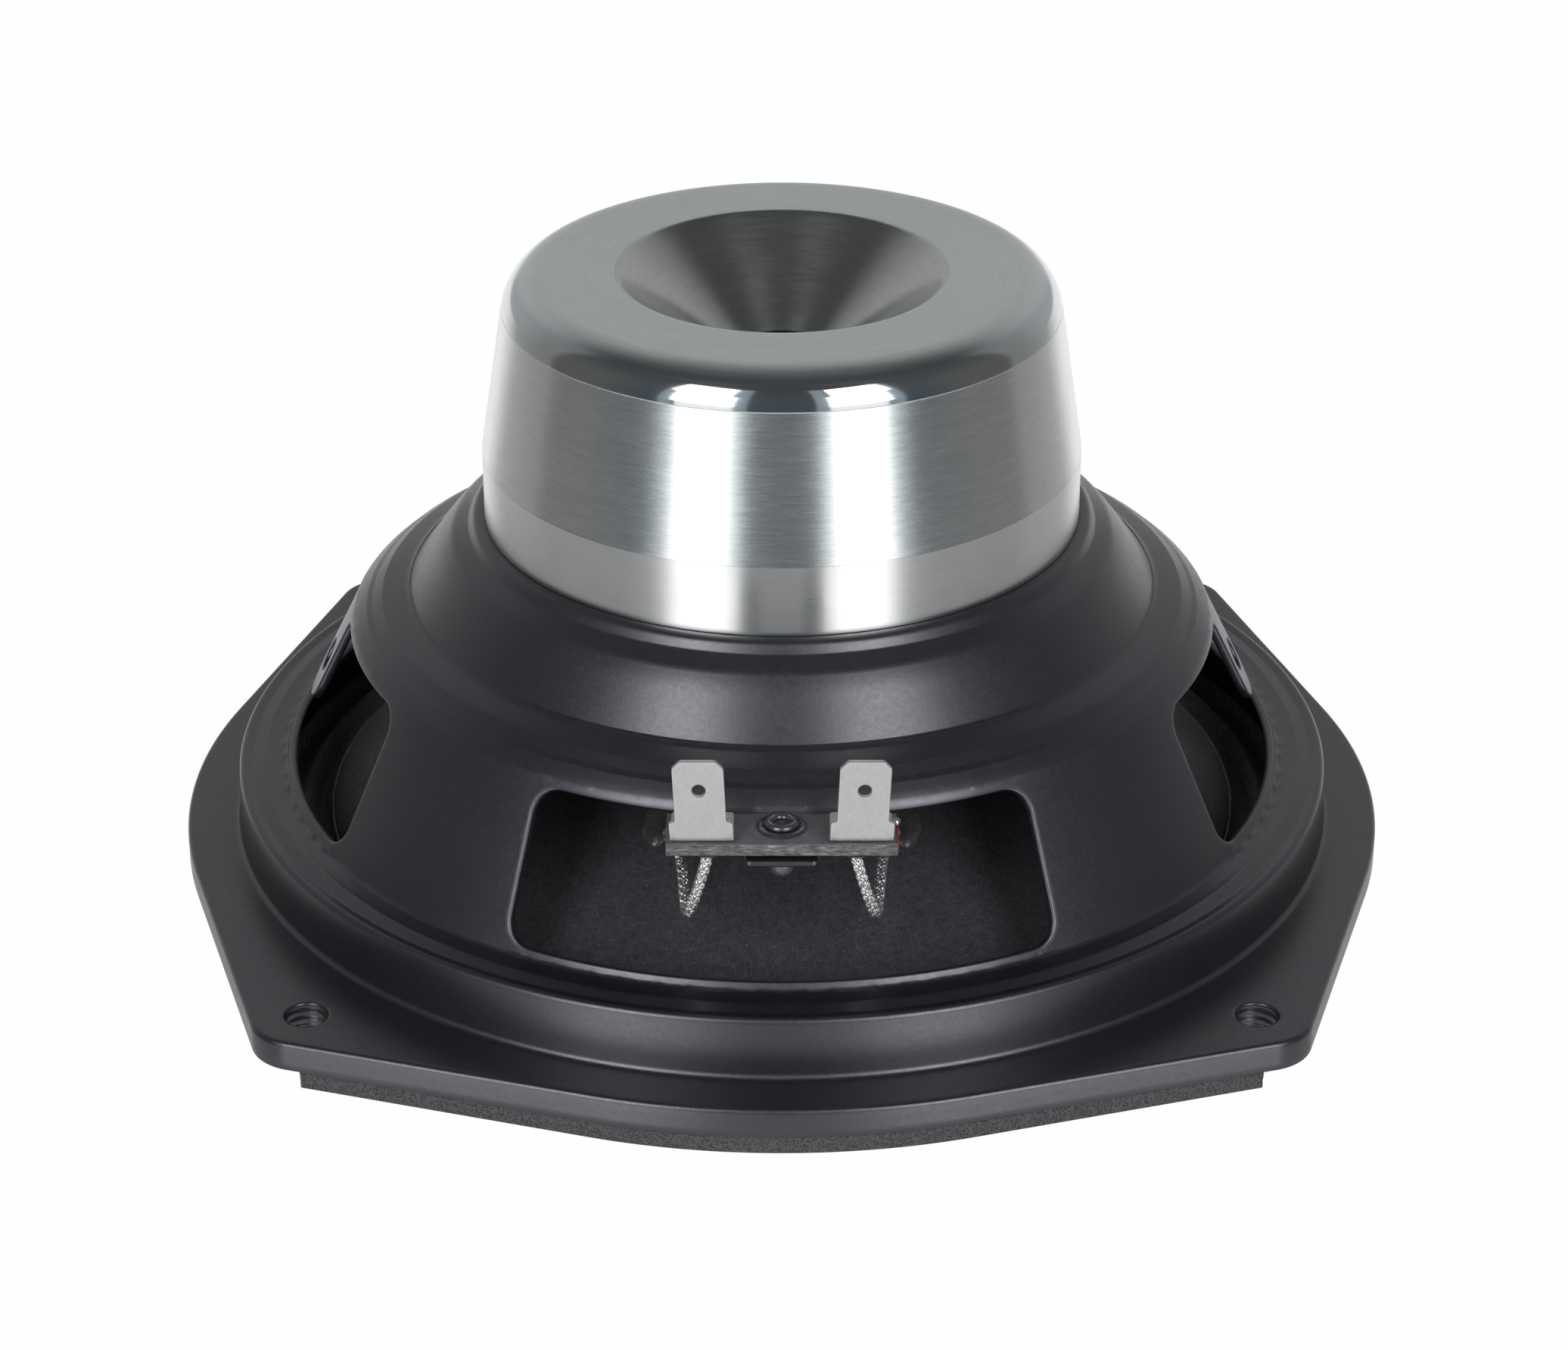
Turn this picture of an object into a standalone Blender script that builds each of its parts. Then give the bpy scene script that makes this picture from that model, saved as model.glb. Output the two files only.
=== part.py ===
"""Vented 170 mm woofer driver, lying on its front gasket, motor upwards.

Frame: metres, +Z up. The origin is the centre of the front gasket's face, so
the driver stands on z = 0 and the motor's rear face is the highest surface.
The terminals and their window face -Y. All constants below are millimetres.
"""
import math

import bmesh
import bpy
from mathutils import Matrix, Vector

MM = 0.001
TAU = 2.0 * math.pi

# ---------------------------------------------------------------- dimensions
SEG = 40                      # facets round a turned piece

# flange and rim of the pressed basket
FLANGE_R = 82.25              # half width across the flats' arcs
EAR_RC = 7.2                  # corner radius of an ear, about its bolt hole
EAR_C = 60.104                # x and y of an ear's corner centre
FLANGE_TOP = 6.4
LIP_BOTTOM = 2.44
SHEET = 1.2                   # pressed steel sheet
BOLT_R = 85.0                 # 170 mm bolt circle
BOLT_HOLE = 5.5
COLLAR_R = 3.7                # drawn collar round each hole, under the flange
COLLAR_Z = (2.95, 5.9)
# the basket's outer surface, outside in: flange foot, rim, ledge, cone, steps
RIM_PROFILE = [(75.9, 6.4), (75.08, 7.2), (74.76, 13.75), (73.7, 14.82),
               (72.9, 14.55), (70.9, 14.82), (67.9, 15.5)]
STEP_PROFILE = [(57.5, 36.0), (54.9, 38.1), (50.2, 39.6),
                (46.8, 42.6), (44.7, 46.0), (43.2, 48.5), (41.2, 49.75)]
SEAT_Z = 49.75
SEAT_HOLE_R = 24.2
# windows in the conical wall
WIN_BOTTOM = (67.9, 15.5)
WIN_TOP = (58.45, 34.3)
WIN_HALF = 31.7               # degrees each side of the window's middle
WIN_CORNER = 4.0
TONGUE_W = 8.8
TONGUE_TIP_Z = 21.5
TONGUE_HOLE = 4.7
TONGUE_HOLE_Z = 27.2

# gasket
GASKET_H = 2.39
GASKET_IN_R = 76.5
GASKET_END = (60.5, -67.25)
CLAMP_R = (76.9, 80.3)
CLAMP_Z = (2.49, 4.10)

# motor
MOTOR_R = 40.0
PLATE_Z = (49.85, 59.38)
POT_Z0 = 59.43
POT_TOP = 83.72
POT_SHOULDER = (36.94, 79.03)
POT_FILLET = 5.5
POT_FACE_R = 31.5
VENT_MOUTH_R = 21.66
VENT_R = 7.6
POT_BORE_R = 34.0
POT_FLOOR_Z = 71.8
GAP_OUT_R = 23.2
POLE_R = 21.2
CORE_BORE_R = 8.6
SCREW_PCR = 31.5

# moving assembly
FORMER_R = (21.6, 22.0)
FORMER_Z = (31.5, 62.0)
COIL_R = (22.15, 22.75)
COIL_Z = (47.6, 61.6)
CONE_EDGE = (62.0, 7.3)
CONE_NECK = (22.6, 32.4)
CONE_T = 0.95
CAP_R = 30.0
CAP_Z = 26.4
CAP_RISE = 8.0
CAP_T = 0.6

# terminals
BOARD_X = 14.2
BOARD_Y = (-66.5, -58.8)
BOARD_Z = (33.05, 34.70)
RIVET_Y = -62.2
RIVET_HOLE_R = 1.75
TAB_X = 9.75
TAB_Y = (-66.4, -65.6)
TAB_Z0 = 34.76
TAB_H = 11.3
TAB_W = 6.3
TAB_BASE_W = 7.8
TAB_BASE_H = 2.9
TAB_HOLE = 1.7
TAB_LEAN = 0.045
LEAD_D = 1.3
GLUE_R = 3.0
GLUE_H = 1.1
GLUE_AT = (15.8, -37.2)


# ------------------------------------------------------------------- helpers
def clear_scene():
    for obj in list(bpy.data.objects):
        bpy.data.objects.remove(obj, do_unlink=True)


def collection(name):
    coll = bpy.data.collections.get(name) or bpy.data.collections.new(name)
    if coll.name not in {c.name for c in bpy.context.scene.collection.children}:
        bpy.context.scene.collection.children.link(coll)
    return coll


def material(name, colour, roughness, metallic):
    mat = bpy.data.materials.new(name)
    mat.use_nodes = True
    bsdf = mat.node_tree.nodes["Principled BSDF"]
    bsdf.inputs["Base Color"].default_value = (*colour, 1.0)
    bsdf.inputs["Roughness"].default_value = roughness
    bsdf.inputs["Metallic"].default_value = metallic
    mat.diffuse_color = (*colour, 1.0)
    return mat


def add_object(name, data, mat=None, coll=None):
    obj = bpy.data.objects.new(name, data)
    (coll or PARTS).objects.link(obj)
    if mat is not None:
        data.materials.append(mat)
    return obj


def smooth(obj, angle=35.0):
    obj.data.shade_smooth()
    obj.data.set_sharp_from_angle(angle=math.radians(angle))


def signed_area(profile):
    total = 0.0
    for (x0, y0), (x1, y1) in zip(profile, profile[1:] + profile[:1]):
        total += x0 * y1 - x1 * y0
    return 0.5 * total


def turned(name, profile, mat, steps=SEG, coll=None):
    """Closed (r, z) section turned about Z. A section that starts and ends on
    the axis is left open there."""
    pts = list(profile)
    on_axis = abs(pts[0][0]) < 1e-9 and abs(pts[-1][0]) < 1e-9
    if signed_area(pts) > 0.0:
        pts.reverse()
    mesh = bpy.data.meshes.new(name)
    verts = [(r * MM, 0.0, z * MM) for r, z in pts]
    edges = [(i, i + 1) for i in range(len(pts) - 1)]
    if not on_axis:
        edges.append((len(pts) - 1, 0))
    mesh.from_pydata(verts, edges, [])
    obj = add_object(name, mesh, mat, coll)
    screw = obj.modifiers.new("Turn", "SCREW")
    screw.axis = "Z"
    screw.angle = TAU
    screw.steps = steps
    screw.render_steps = steps
    screw.use_merge_vertices = True
    screw.merge_threshold = 0.00001
    screw.use_smooth_shade = True
    if on_axis:
        weld = obj.modifiers.new("Pole", "WELD")
        weld.merge_threshold = 0.00001
    return obj


def plate(name, loops, thickness, mat=None, coll=None):
    """Flat outline, with any holes, as a filled 2D curve of this thickness,
    centred on its own XY plane."""
    curve = bpy.data.curves.new(name, "CURVE")
    curve.dimensions = "2D"
    curve.fill_mode = "BOTH"
    curve.extrude = 0.5 * thickness * MM
    for loop in loops:
        spline = curve.splines.new("POLY")
        spline.points.add(len(loop) - 1)
        for point, (x, y) in zip(spline.points, loop):
            point.co = (x * MM, y * MM, 0.0, 1.0)
        spline.use_cyclic_u = True
    return add_object(name, curve, mat, coll)


def to_mesh(obj):
    """Replace a curve object by a welded mesh object of the same name."""
    bpy.context.view_layer.update()
    graph = bpy.context.evaluated_depsgraph_get()
    mesh = bpy.data.meshes.new_from_object(obj.evaluated_get(graph))
    bm = bmesh.new()
    bm.from_mesh(mesh)
    bmesh.ops.remove_doubles(bm, verts=bm.verts, dist=1e-7)
    bmesh.ops.recalc_face_normals(bm, faces=bm.faces)
    bm.to_mesh(mesh)
    bm.free()
    name, matrix = obj.name, obj.matrix_world.copy()
    coll = obj.users_collection[0]
    bpy.data.objects.remove(obj, do_unlink=True)
    new = bpy.data.objects.new(name, mesh)
    mesh.name = name
    coll.objects.link(new)
    new.matrix_world = matrix
    return new


def cutter(obj):
    obj.hide_render = True
    obj.display_type = "WIRE"
    return obj


def boolean(obj, other, operation):
    mod = obj.modifiers.new(operation.title(), "BOOLEAN")
    mod.operation = operation
    mod.solver = "EXACT"
    mod.object = other
    return mod


def cylinder(name, radius, z0, z1, at, coll, sides=24, mat=None):
    mesh = bpy.data.meshes.new(name)
    bm = bmesh.new()
    bmesh.ops.create_cone(bm, cap_ends=True, segments=sides, radius1=radius * MM,
                          radius2=radius * MM, depth=(z1 - z0) * MM)
    bm.to_mesh(mesh)
    bm.free()
    obj = add_object(name, mesh, mat, coll)
    obj.location = (at[0] * MM, at[1] * MM, 0.5 * (z0 + z1) * MM)
    return obj


def circle_loop(radius, sides, centre=(0.0, 0.0)):
    return [(centre[0] + radius * math.cos(TAU * i / sides),
             centre[1] + radius * math.sin(TAU * i / sides)) for i in range(sides)]


def spline_path(points, per_span):
    """Points of a Catmull-Rom curve through the given points."""
    pts = [Vector(p) for p in points]
    ext = [2 * pts[0] - pts[1]] + pts + [2 * pts[-1] - pts[-2]]
    out = []
    for i in range(1, len(ext) - 2):
        p0, p1, p2, p3 = ext[i - 1:i + 3]
        for k in range(per_span):
            t = k / per_span
            out.append(0.5 * ((2 * p1) + (p2 - p0) * t
                              + (2 * p0 - 5 * p1 + 4 * p2 - p3) * t * t
                              + (3 * p1 - p0 - 3 * p2 + p3) * t ** 3))
    out.append(pts[-1])
    return out


def tube(name, path, diameter, mat):
    curve = bpy.data.curves.new(name, "CURVE")
    curve.dimensions = "3D"
    curve.bevel_depth = 0.5 * diameter * MM
    curve.bevel_resolution = 2
    curve.use_fill_caps = True
    spline = curve.splines.new("POLY")
    spline.points.add(len(path) - 1)
    for point, co in zip(spline.points, path):
        point.co = (co.x * MM, co.y * MM, co.z * MM, 1.0)
    return add_object(name, curve, mat)


# ------------------------------------------------------------ flange outline
EAR_D = EAR_C * math.sqrt(2.0)
TAN_A = math.radians(45.0) - math.acos((FLANGE_R - EAR_RC) / EAR_D)


def outline_radius(theta, inset=0.0):
    """Distance from the axis to the flange outline in direction theta."""
    big, small = FLANGE_R - inset, EAR_RC - inset
    a = abs((theta + math.pi / 4) % (math.pi / 2) - math.pi / 4)
    if a <= TAN_A:
        return big
    ear_a = math.atan2(EAR_C + small * math.sin(TAN_A), EAR_C + small * math.cos(TAN_A))
    if a >= ear_a:
        dot = EAR_C * (math.cos(a) + math.sin(a))
        return dot + math.sqrt(dot * dot - EAR_D ** 2 + small ** 2)
    return big / math.cos(a - TAN_A)


def outline_angles():
    """Directions that carry the outline's arcs, straights and corner arcs."""
    octant = [TAN_A * i / 2 for i in range(2)] + [TAN_A]
    ear_a = math.atan2(EAR_C + EAR_RC * math.sin(TAN_A), EAR_C + EAR_RC * math.cos(TAN_A))
    octant += [TAN_A + (ear_a - TAN_A) * i / 3 for i in (1, 2)]
    octant += [ear_a + (math.pi / 4 - ear_a) * i / 2 for i in range(2)]
    quarter = octant + [math.pi / 4] + [math.pi / 2 - a for a in reversed(octant[1:])]
    return [q * math.pi / 2 + a for q in range(4) for a in quarter]


# --------------------------------------------------------------------- basket
def window_normal():
    dr, dz = WIN_TOP[0] - WIN_BOTTOM[0], WIN_TOP[1] - WIN_BOTTOM[1]
    length = math.hypot(dr, dz)
    return (dz / length, -dr / length), (dr / length, dz / length), length


def window_loops(with_tongue):
    """Outline of one window in the plane square to the wall's normal."""
    normal, slope, length = window_normal()

    def at(beta, along):
        s = along / length
        r = WIN_BOTTOM[0] + (WIN_TOP[0] - WIN_BOTTOM[0]) * s
        z = WIN_BOTTOM[1] + (WIN_TOP[1] - WIN_BOTTOM[1]) * s
        return (r * math.sin(beta), slope[0] * r * math.cos(beta) + slope[1] * z)

    def radius(along):
        return WIN_BOTTOM[0] + (WIN_TOP[0] - WIN_BOTTOM[0]) * along / length

    half, rho = math.radians(WIN_HALF), WIN_CORNER
    right = []
    for i in range(5):                                  # bottom right corner
        psi = 0.5 * math.pi * i / 4
        along = rho - rho * math.cos(psi)
        right.append((half - rho * (1 - math.sin(psi)) / radius(along), along))
    for i in range(5):                                  # top right corner
        psi = 0.5 * math.pi * i / 4
        along = length - rho + rho * math.sin(psi)
        right.append((half - rho * (1 - math.cos(psi)) / radius(along), along))
    top = []
    if with_tongue:
        half_w = 0.5 * TONGUE_W
        tip = length * (TONGUE_TIP_Z - WIN_BOTTOM[1]) / (WIN_TOP[1] - WIN_BOTTOM[1])
        top.append((0.5 * half, length))
        top.append((half_w / radius(length), length))
        for i in range(9):
            psi = math.pi * i / 8
            along = tip + half_w - half_w * math.sin(psi)
            top.append((half_w * math.cos(psi) / radius(along), along))
        top.append((-half_w / radius(length), length))
        top.append((-0.5 * half, length))
    else:
        top = [(half * f, length) for f in (0.6, 0.3, 0.0, -0.3, -0.6)]
    left = [(-b, a) for b, a in reversed(right)]
    bottom = [(half * f, 0.0) for f in (-0.6, -0.3, 0.0, 0.3, 0.6)]
    loops = [[at(b, a) for b, a in right + top + left + bottom]]
    if with_tongue:
        along = length * (TONGUE_HOLE_Z - WIN_BOTTOM[1]) / (WIN_TOP[1] - WIN_BOTTOM[1])
        loops.append(circle_loop(0.5 * TONGUE_HOLE, 12, at(0.0, along)))
    return loops


def window_cutter(index, azimuth, with_tongue):
    """Prism through the wall, along the wall's own normal."""
    normal, slope, _ = window_normal()
    obj = plate("window_cut_%d" % index, window_loops(with_tongue), 24.0, coll=CUTTERS)
    radial = Vector((math.cos(azimuth), math.sin(azimuth), 0.0))
    tangent = Vector((-math.sin(azimuth), math.cos(azimuth), 0.0))
    v_axis = slope[0] * radial + Vector((0.0, 0.0, slope[1]))
    n_axis = tangent.cross(v_axis)
    mid = (normal[0] * WIN_BOTTOM[0] + normal[1] * WIN_BOTTOM[1] - 5.0) * MM
    frame = Matrix((tangent, v_axis, n_axis)).transposed().to_4x4()
    frame.translation = n_axis * mid
    obj.matrix_world = frame
    return cutter(to_mesh(obj))


def make_basket(mat):
    angles = outline_angles()
    rings = []

    def ring(z, inset=None, r=None):
        rings.append([(((outline_radius(a, inset) if r is None else r) * math.cos(a)) * MM,
                       ((outline_radius(a, inset) if r is None else r) * math.sin(a)) * MM,
                       z * MM) for a in angles])

    ring(LIP_BOTTOM, inset=0.0)
    ring(FLANGE_TOP - 0.6, inset=0.0)
    ring(FLANGE_TOP, inset=0.6)
    for r, z in RIM_PROFILE + STEP_PROFILE:
        ring(z, r=r)
    ring(SEAT_Z, r=SEAT_HOLE_R)
    # an open surface lofted from the eared outline to the round seat
    mesh = bpy.data.meshes.new("basket")
    bm = bmesh.new()
    grid = [[bm.verts.new(co) for co in row] for row in rings]
    count = len(angles)
    for low, high in zip(grid, grid[1:]):
        for i in range(count):
            j = (i + 1) % count
            bm.faces.new((low[i], low[j], high[j], high[i]))
    bm.to_mesh(mesh)
    bm.free()
    obj = add_object("basket", mesh, mat)
    sheet = obj.modifiers.new("Sheet", "SOLIDIFY")
    sheet.thickness = SHEET * MM
    sheet.offset = -1.0
    sheet.use_even_offset = True
    for index, azimuth in enumerate((-90.0, 0.0, 90.0, 180.0)):
        boolean(obj, window_cutter(index, math.radians(azimuth), index > 0), "DIFFERENCE")
    for i in range(4):
        a = math.radians(45.0 + 90.0 * i)
        collar = cylinder("bolt_collar_%d" % i, COLLAR_R, COLLAR_Z[0], COLLAR_Z[1],
                          (BOLT_R * math.cos(a), BOLT_R * math.sin(a)), CUTTERS)
        boolean(obj, cutter(collar), "UNION")
        hole = cylinder("bolt_cut_%d" % i, 0.5 * BOLT_HOLE, 0.5, 9.0,
                        (BOLT_R * math.cos(a), BOLT_R * math.sin(a)), CUTTERS)
        boolean(obj, cutter(hole), "DIFFERENCE")
        hole = cylinder("seat_cut_%d" % i, 2.3, 46.0, 52.0,
                        (SCREW_PCR * math.cos(a), SCREW_PCR * math.sin(a)), CUTTERS, 12)
        boolean(obj, cutter(hole), "DIFFERENCE")
    # the front window's tongue is bent out flat to carry the terminal board
    outer = [(-57.75, 35.3), (-58.3, 34.0), (-58.42, 33.2), (-58.75, 32.98), (-66.2, 32.3),
             (-66.2, 31.4), (-59.2, 32.05), (-57.75, 32.8), (-56.9, 34.6)]
    tongue = plate("front_tongue", [outer], 8.7, coll=CUTTERS)
    tongue.matrix_world = Matrix(((0, 0, 1, 0), (1, 0, 0, 0), (0, 1, 0, 0), (0, 0, 0, 1)))
    boolean(obj, cutter(to_mesh(tongue)), "UNION")
    hole = cylinder("rivet_cut", RIVET_HOLE_R, 30.0, 33.6, (0.0, RIVET_Y), CUTTERS, 12)
    boolean(obj, cutter(hole), "DIFFERENCE")
    smooth(obj, 30.0)
    return obj


# -------------------------------------------------------------------- gaskets
def make_gasket(name, turn, inset, mat):
    """One foam strip between two ears, laid out for the -Y side and turned."""
    x_end, y_end = GASKET_END
    a_end = math.atan2(-y_end, x_end)                   # from +X towards -Y
    outer = []
    for i in range(17):
        a = -math.pi / 2 + (math.pi / 2 - a_end) * (2.0 * i / 16 - 1.0)
        r = outline_radius(a, inset)
        outer.append((r * math.cos(a), r * math.sin(a)))
    inner = []
    for i in range(13):
        a = -math.pi / 2 + math.radians(43.0) * (1.0 - 2.0 * i / 12)
        inner.append((GASKET_IN_R * math.cos(a), GASKET_IN_R * math.sin(a)))
    obj = plate(name, [outer + inner], GASKET_H, mat)
    obj.location.z = 0.5 * GASKET_H * MM
    obj.rotation_euler.z = math.radians(turn)
    return obj


# ---------------------------------------------------------------------- motor
def make_motor(steel, plate_steel, nickel, aluminium, zinc):
    fillet = []
    lean = math.atan2(MOTOR_R - POT_SHOULDER[0], POT_SHOULDER[1] - POT_Z0)
    for i in range(5):
        a = math.pi / 2 + (lean - math.pi / 2) * i / 4
        fillet.append((POT_FACE_R + POT_FILLET * math.cos(a),
                       POT_TOP - POT_FILLET + POT_FILLET * math.sin(a)))
    vent_z = POT_TOP - (VENT_MOUTH_R - VENT_R) / math.tan(math.radians(50.0))
    pot = [(VENT_MOUTH_R + 0.5, POT_TOP)] + fillet
    pot += [(MOTOR_R, POT_Z0), (POT_BORE_R, POT_Z0), (POT_BORE_R, POT_FLOOR_Z),
            (VENT_R, POT_FLOOR_Z), (VENT_R, vent_z), (VENT_MOUTH_R - 0.3, POT_TOP - 0.45)]
    pieces = [turned("motor_pot", pot, steel)]
    front = turned("front_plate", [(MOTOR_R, PLATE_Z[1]), (MOTOR_R, PLATE_Z[0]),
                                   (GAP_OUT_R, PLATE_Z[0]), (GAP_OUT_R, PLATE_Z[1])],
                   plate_steel)
    pieces.append(front)
    for i in range(4):
        a = math.radians(45.0 + 90.0 * i)
        at = (SCREW_PCR * math.cos(a), SCREW_PCR * math.sin(a))
        boolean(front, cutter(cylinder("plate_cut_%d" % i, 2.3, 48.0, 57.6, at, CUTTERS, 12)),
                "DIFFERENCE")
        screw = turned("motor_screw_%d" % (i + 1),
                       [(0.0, 57.0), (2.0, 57.0), (2.0, 48.45), (3.6, 48.45), (3.6, 46.9),
                        (2.9, 46.2), (0.0, 46.2)], zinc, 12)
        screw.location = (at[0] * MM, at[1] * MM, 0.0)
        pieces.append(screw)
    pieces.append(turned("magnet_ring", [(21.0, 71.7), (21.0, 59.6), (CORE_BORE_R, 59.6),
                                         (CORE_BORE_R, 71.7)], nickel))
    pieces.append(turned("pole_plate", [(POLE_R, 59.5), (POLE_R, 50.5), (POLE_R - 0.6, 49.9),
                                        (CORE_BORE_R, 49.9), (CORE_BORE_R, 59.5)], plate_steel))
    pieces.append(turned("shorting_ring", [(33.7, 64.5), (33.7, 59.5), (23.7, 59.5),
                                           (23.7, 64.5)], aluminium))
    return pieces


# ------------------------------------------------------------ moving assembly
def cone_z(r):
    """Height of the cone's rear surface."""
    (r0, z0), (r1, z1) = CONE_EDGE, CONE_NECK
    return z0 + (z1 - z0) * (r0 - r) / (r0 - r1)


def make_moving(paper, cap_paper, kapton, wire, cloth, phenolic, glue):
    empty = bpy.data.objects.new("cone_travel_axis", None)
    PARTS.objects.link(empty)
    moving = []
    moving.append(turned("cone", [
        (CONE_NECK[0], CONE_NECK[1] + 0.6), (CONE_NECK[0] + 0.7, CONE_NECK[1] - 0.4),
        (42.0, cone_z(42.0)), CONE_EDGE,
        (CONE_EDGE[0], CONE_EDGE[1] - CONE_T), (42.0, cone_z(42.0) - CONE_T),
        (CONE_NECK[0], CONE_NECK[1] - CONE_T)], paper))
    big = (CAP_R ** 2 + CAP_RISE ** 2) / (2 * CAP_RISE)
    dome = []
    for i in range(5):
        r = CAP_R * i / 4
        dome.append((r, CAP_Z - CAP_RISE + big - math.sqrt(big * big - r * r)))
    cap = [(0.0, dome[0][1] + CAP_T)]
    cap += [(r, z + CAP_T) for r, z in dome[1:-1]] + [(CAP_R, CAP_Z + 0.1), (CAP_R, CAP_Z - 0.5)]
    cap += list(reversed(dome[:-1]))
    moving.append(turned("dust_cap", cap, cap_paper))
    moving.append(turned("voice_coil_former", [
        (FORMER_R[1], FORMER_Z[1]), (FORMER_R[1], FORMER_Z[0]),
        (FORMER_R[0], FORMER_Z[0]), (FORMER_R[0], FORMER_Z[1])], kapton))
    moving.append(turned("voice_coil", [
        (COIL_R[1], COIL_Z[1]), (COIL_R[1], COIL_Z[0]),
        (COIL_R[0], COIL_Z[0]), (COIL_R[0], COIL_Z[1])], wire))
    slope = math.atan2(CONE_NECK[1] - CONE_EDGE[1], CONE_EDGE[0] - CONE_NECK[0])
    for side, sign in (("left", -1.0), ("right", 1.0)):
        dot = turned("lead_glue_" + side, [(0.0, GLUE_H), (0.5 * GLUE_R, 0.85 * GLUE_H),
                                           (0.9 * GLUE_R, 0.4 * GLUE_H), (GLUE_R, 0.0),
                                           (0.0, 0.0)], glue, 16)
        x, y = sign * GLUE_AT[0], GLUE_AT[1]
        r = math.hypot(x, y)
        axis = Vector((x / r * math.sin(slope), y / r * math.sin(slope), math.cos(slope)))
        base = Vector((x, y, cone_z(r))) + axis * 0.25
        dot.matrix_world = Matrix.Translation(base * MM) @ axis.to_track_quat("Z", "Y").to_matrix().to_4x4()
        moving.append(dot)
    for obj in moving:
        matrix = obj.matrix_world.copy()
        obj.parent = empty
        obj.matrix_world = matrix
    # suspension, held at its outer edge by the basket
    t = 0.5
    wave = [(57.6, cone_z(57.6) - CONE_T - 0.2), (62.0, cone_z(62.0) - CONE_T - 0.2),
            (64.2, 4.2), (66.3, 6.5), (68.5, 4.25), (70.8, 6.5), (73.1, 4.25),
            (75.0, 4.6), (76.9, 4.7), (80.2, 4.7)]
    turned("surround", wave + [(r, z - t) for r, z in reversed(wave)], cloth)
    disc = [(22.25, 36.6), (25.0, 36.4), (30.5, 34.6), (36.5, 36.8), (42.5, 34.6),
            (47.6, 37.0), (50.6, 37.8), (54.0, 36.75)]
    turned("spider", disc + [(r, z - t) for r, z in reversed(disc)], phenolic)


# ------------------------------------------------------------------ terminals
def make_terminals(board_mat, tin, black_zinc, braid):
    x, (y0, y1) = BOARD_X, BOARD_Y
    board = plate("terminal_board", [
        [(-x, y0), (x, y0), (x, y1), (-x, y1)],
        circle_loop(RIVET_HOLE_R, 12, (0.0, RIVET_Y))], BOARD_Z[1] - BOARD_Z[0], board_mat)
    board.location.z = 0.5 * (BOARD_Z[0] + BOARD_Z[1]) * MM

    washer = turned("rivet_washer", [(3.0, 35.15), (3.0, 34.78), (1.75, 34.78), (1.75, 35.15)],
                    black_zinc, 16)
    washer.location.y = RIVET_Y * MM
    rivet = turned("terminal_rivet", [
        (2.0, 35.95), (2.2, 35.6), (2.1, 35.25), (1.45, 35.2), (1.45, 31.5), (1.62, 31.35),
        (1.58, 29.6), (1.3, 28.75), (0.95, 28.5), (0.95, 35.6), (1.3, 35.95)], black_zinc, 16)
    rivet.location.y = RIVET_Y * MM

    for side, sign in (("left", -1.0), ("right", 1.0)):
        def lean(px, h):
            return (sign * TAB_X + px + sign * TAB_LEAN * h, TAB_Z0 + h)
        base, half = 0.5 * TAB_BASE_W, 0.5 * TAB_W
        right = [(base, 0.0), (base, TAB_BASE_H - 0.2), (half + 0.25, TAB_BASE_H),
                 (half, TAB_BASE_H + 0.4), (half, TAB_H - 1.0), (half - 1.0, TAB_H)]
        loop = [lean(px, h) for px, h in right]
        loop += [lean(-px, h) for px, h in reversed(right)]
        hole = circle_loop(0.5 * TAB_HOLE, 12, lean(0.0, 7.3))
        blade = plate("terminal_tab_" + side, [loop, hole], TAB_Y[1] - TAB_Y[0])
        blade.matrix_world = Matrix(((1, 0, 0, 0), (0, 0, -1, 0.5 * (TAB_Y[0] + TAB_Y[1]) * MM),
                                     (0, 1, 0, 0), (0, 0, 0, 1)))
        blade = to_mesh(blade)
        blade.data.materials.append(tin)
        mesh = bpy.data.meshes.new("tab_foot_" + side)
        bm = bmesh.new()
        bmesh.ops.create_cube(bm, size=MM)
        bmesh.ops.scale(bm, vec=(TAB_BASE_W - 0.1, 6.4, 0.75), verts=bm.verts)
        bm.to_mesh(mesh)
        bm.free()
        foot = add_object("tab_foot_" + side, mesh, None, CUTTERS)
        foot.location = (sign * TAB_X * MM, -62.8 * MM, (TAB_Z0 + 0.45) * MM)
        boolean(blade, cutter(foot), "UNION")

        route = [(sign * 9.2, -64.7, 32.75), (sign * 9.35, -64.6, 31.0), (sign * 10.6, -62.6, 25.6),
                 (sign * 11.6, -60.4, 21.7), (sign * 12.0, -58.4, 20.6), (sign * 12.2, -56.0, 20.75),
                 (sign * 12.9, -48.0, 22.1), (sign * 14.1, -42.0, 22.2),
                 (sign * 14.7, -40.3, 21.75)]
        tube("tinsel_lead_" + side, spline_path(route, 2), LEAD_D, braid)


# ----------------------------------------------------------------------- build
clear_scene()
PARTS = collection("woofer_driver")
CUTTERS = collection("cutters")

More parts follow.
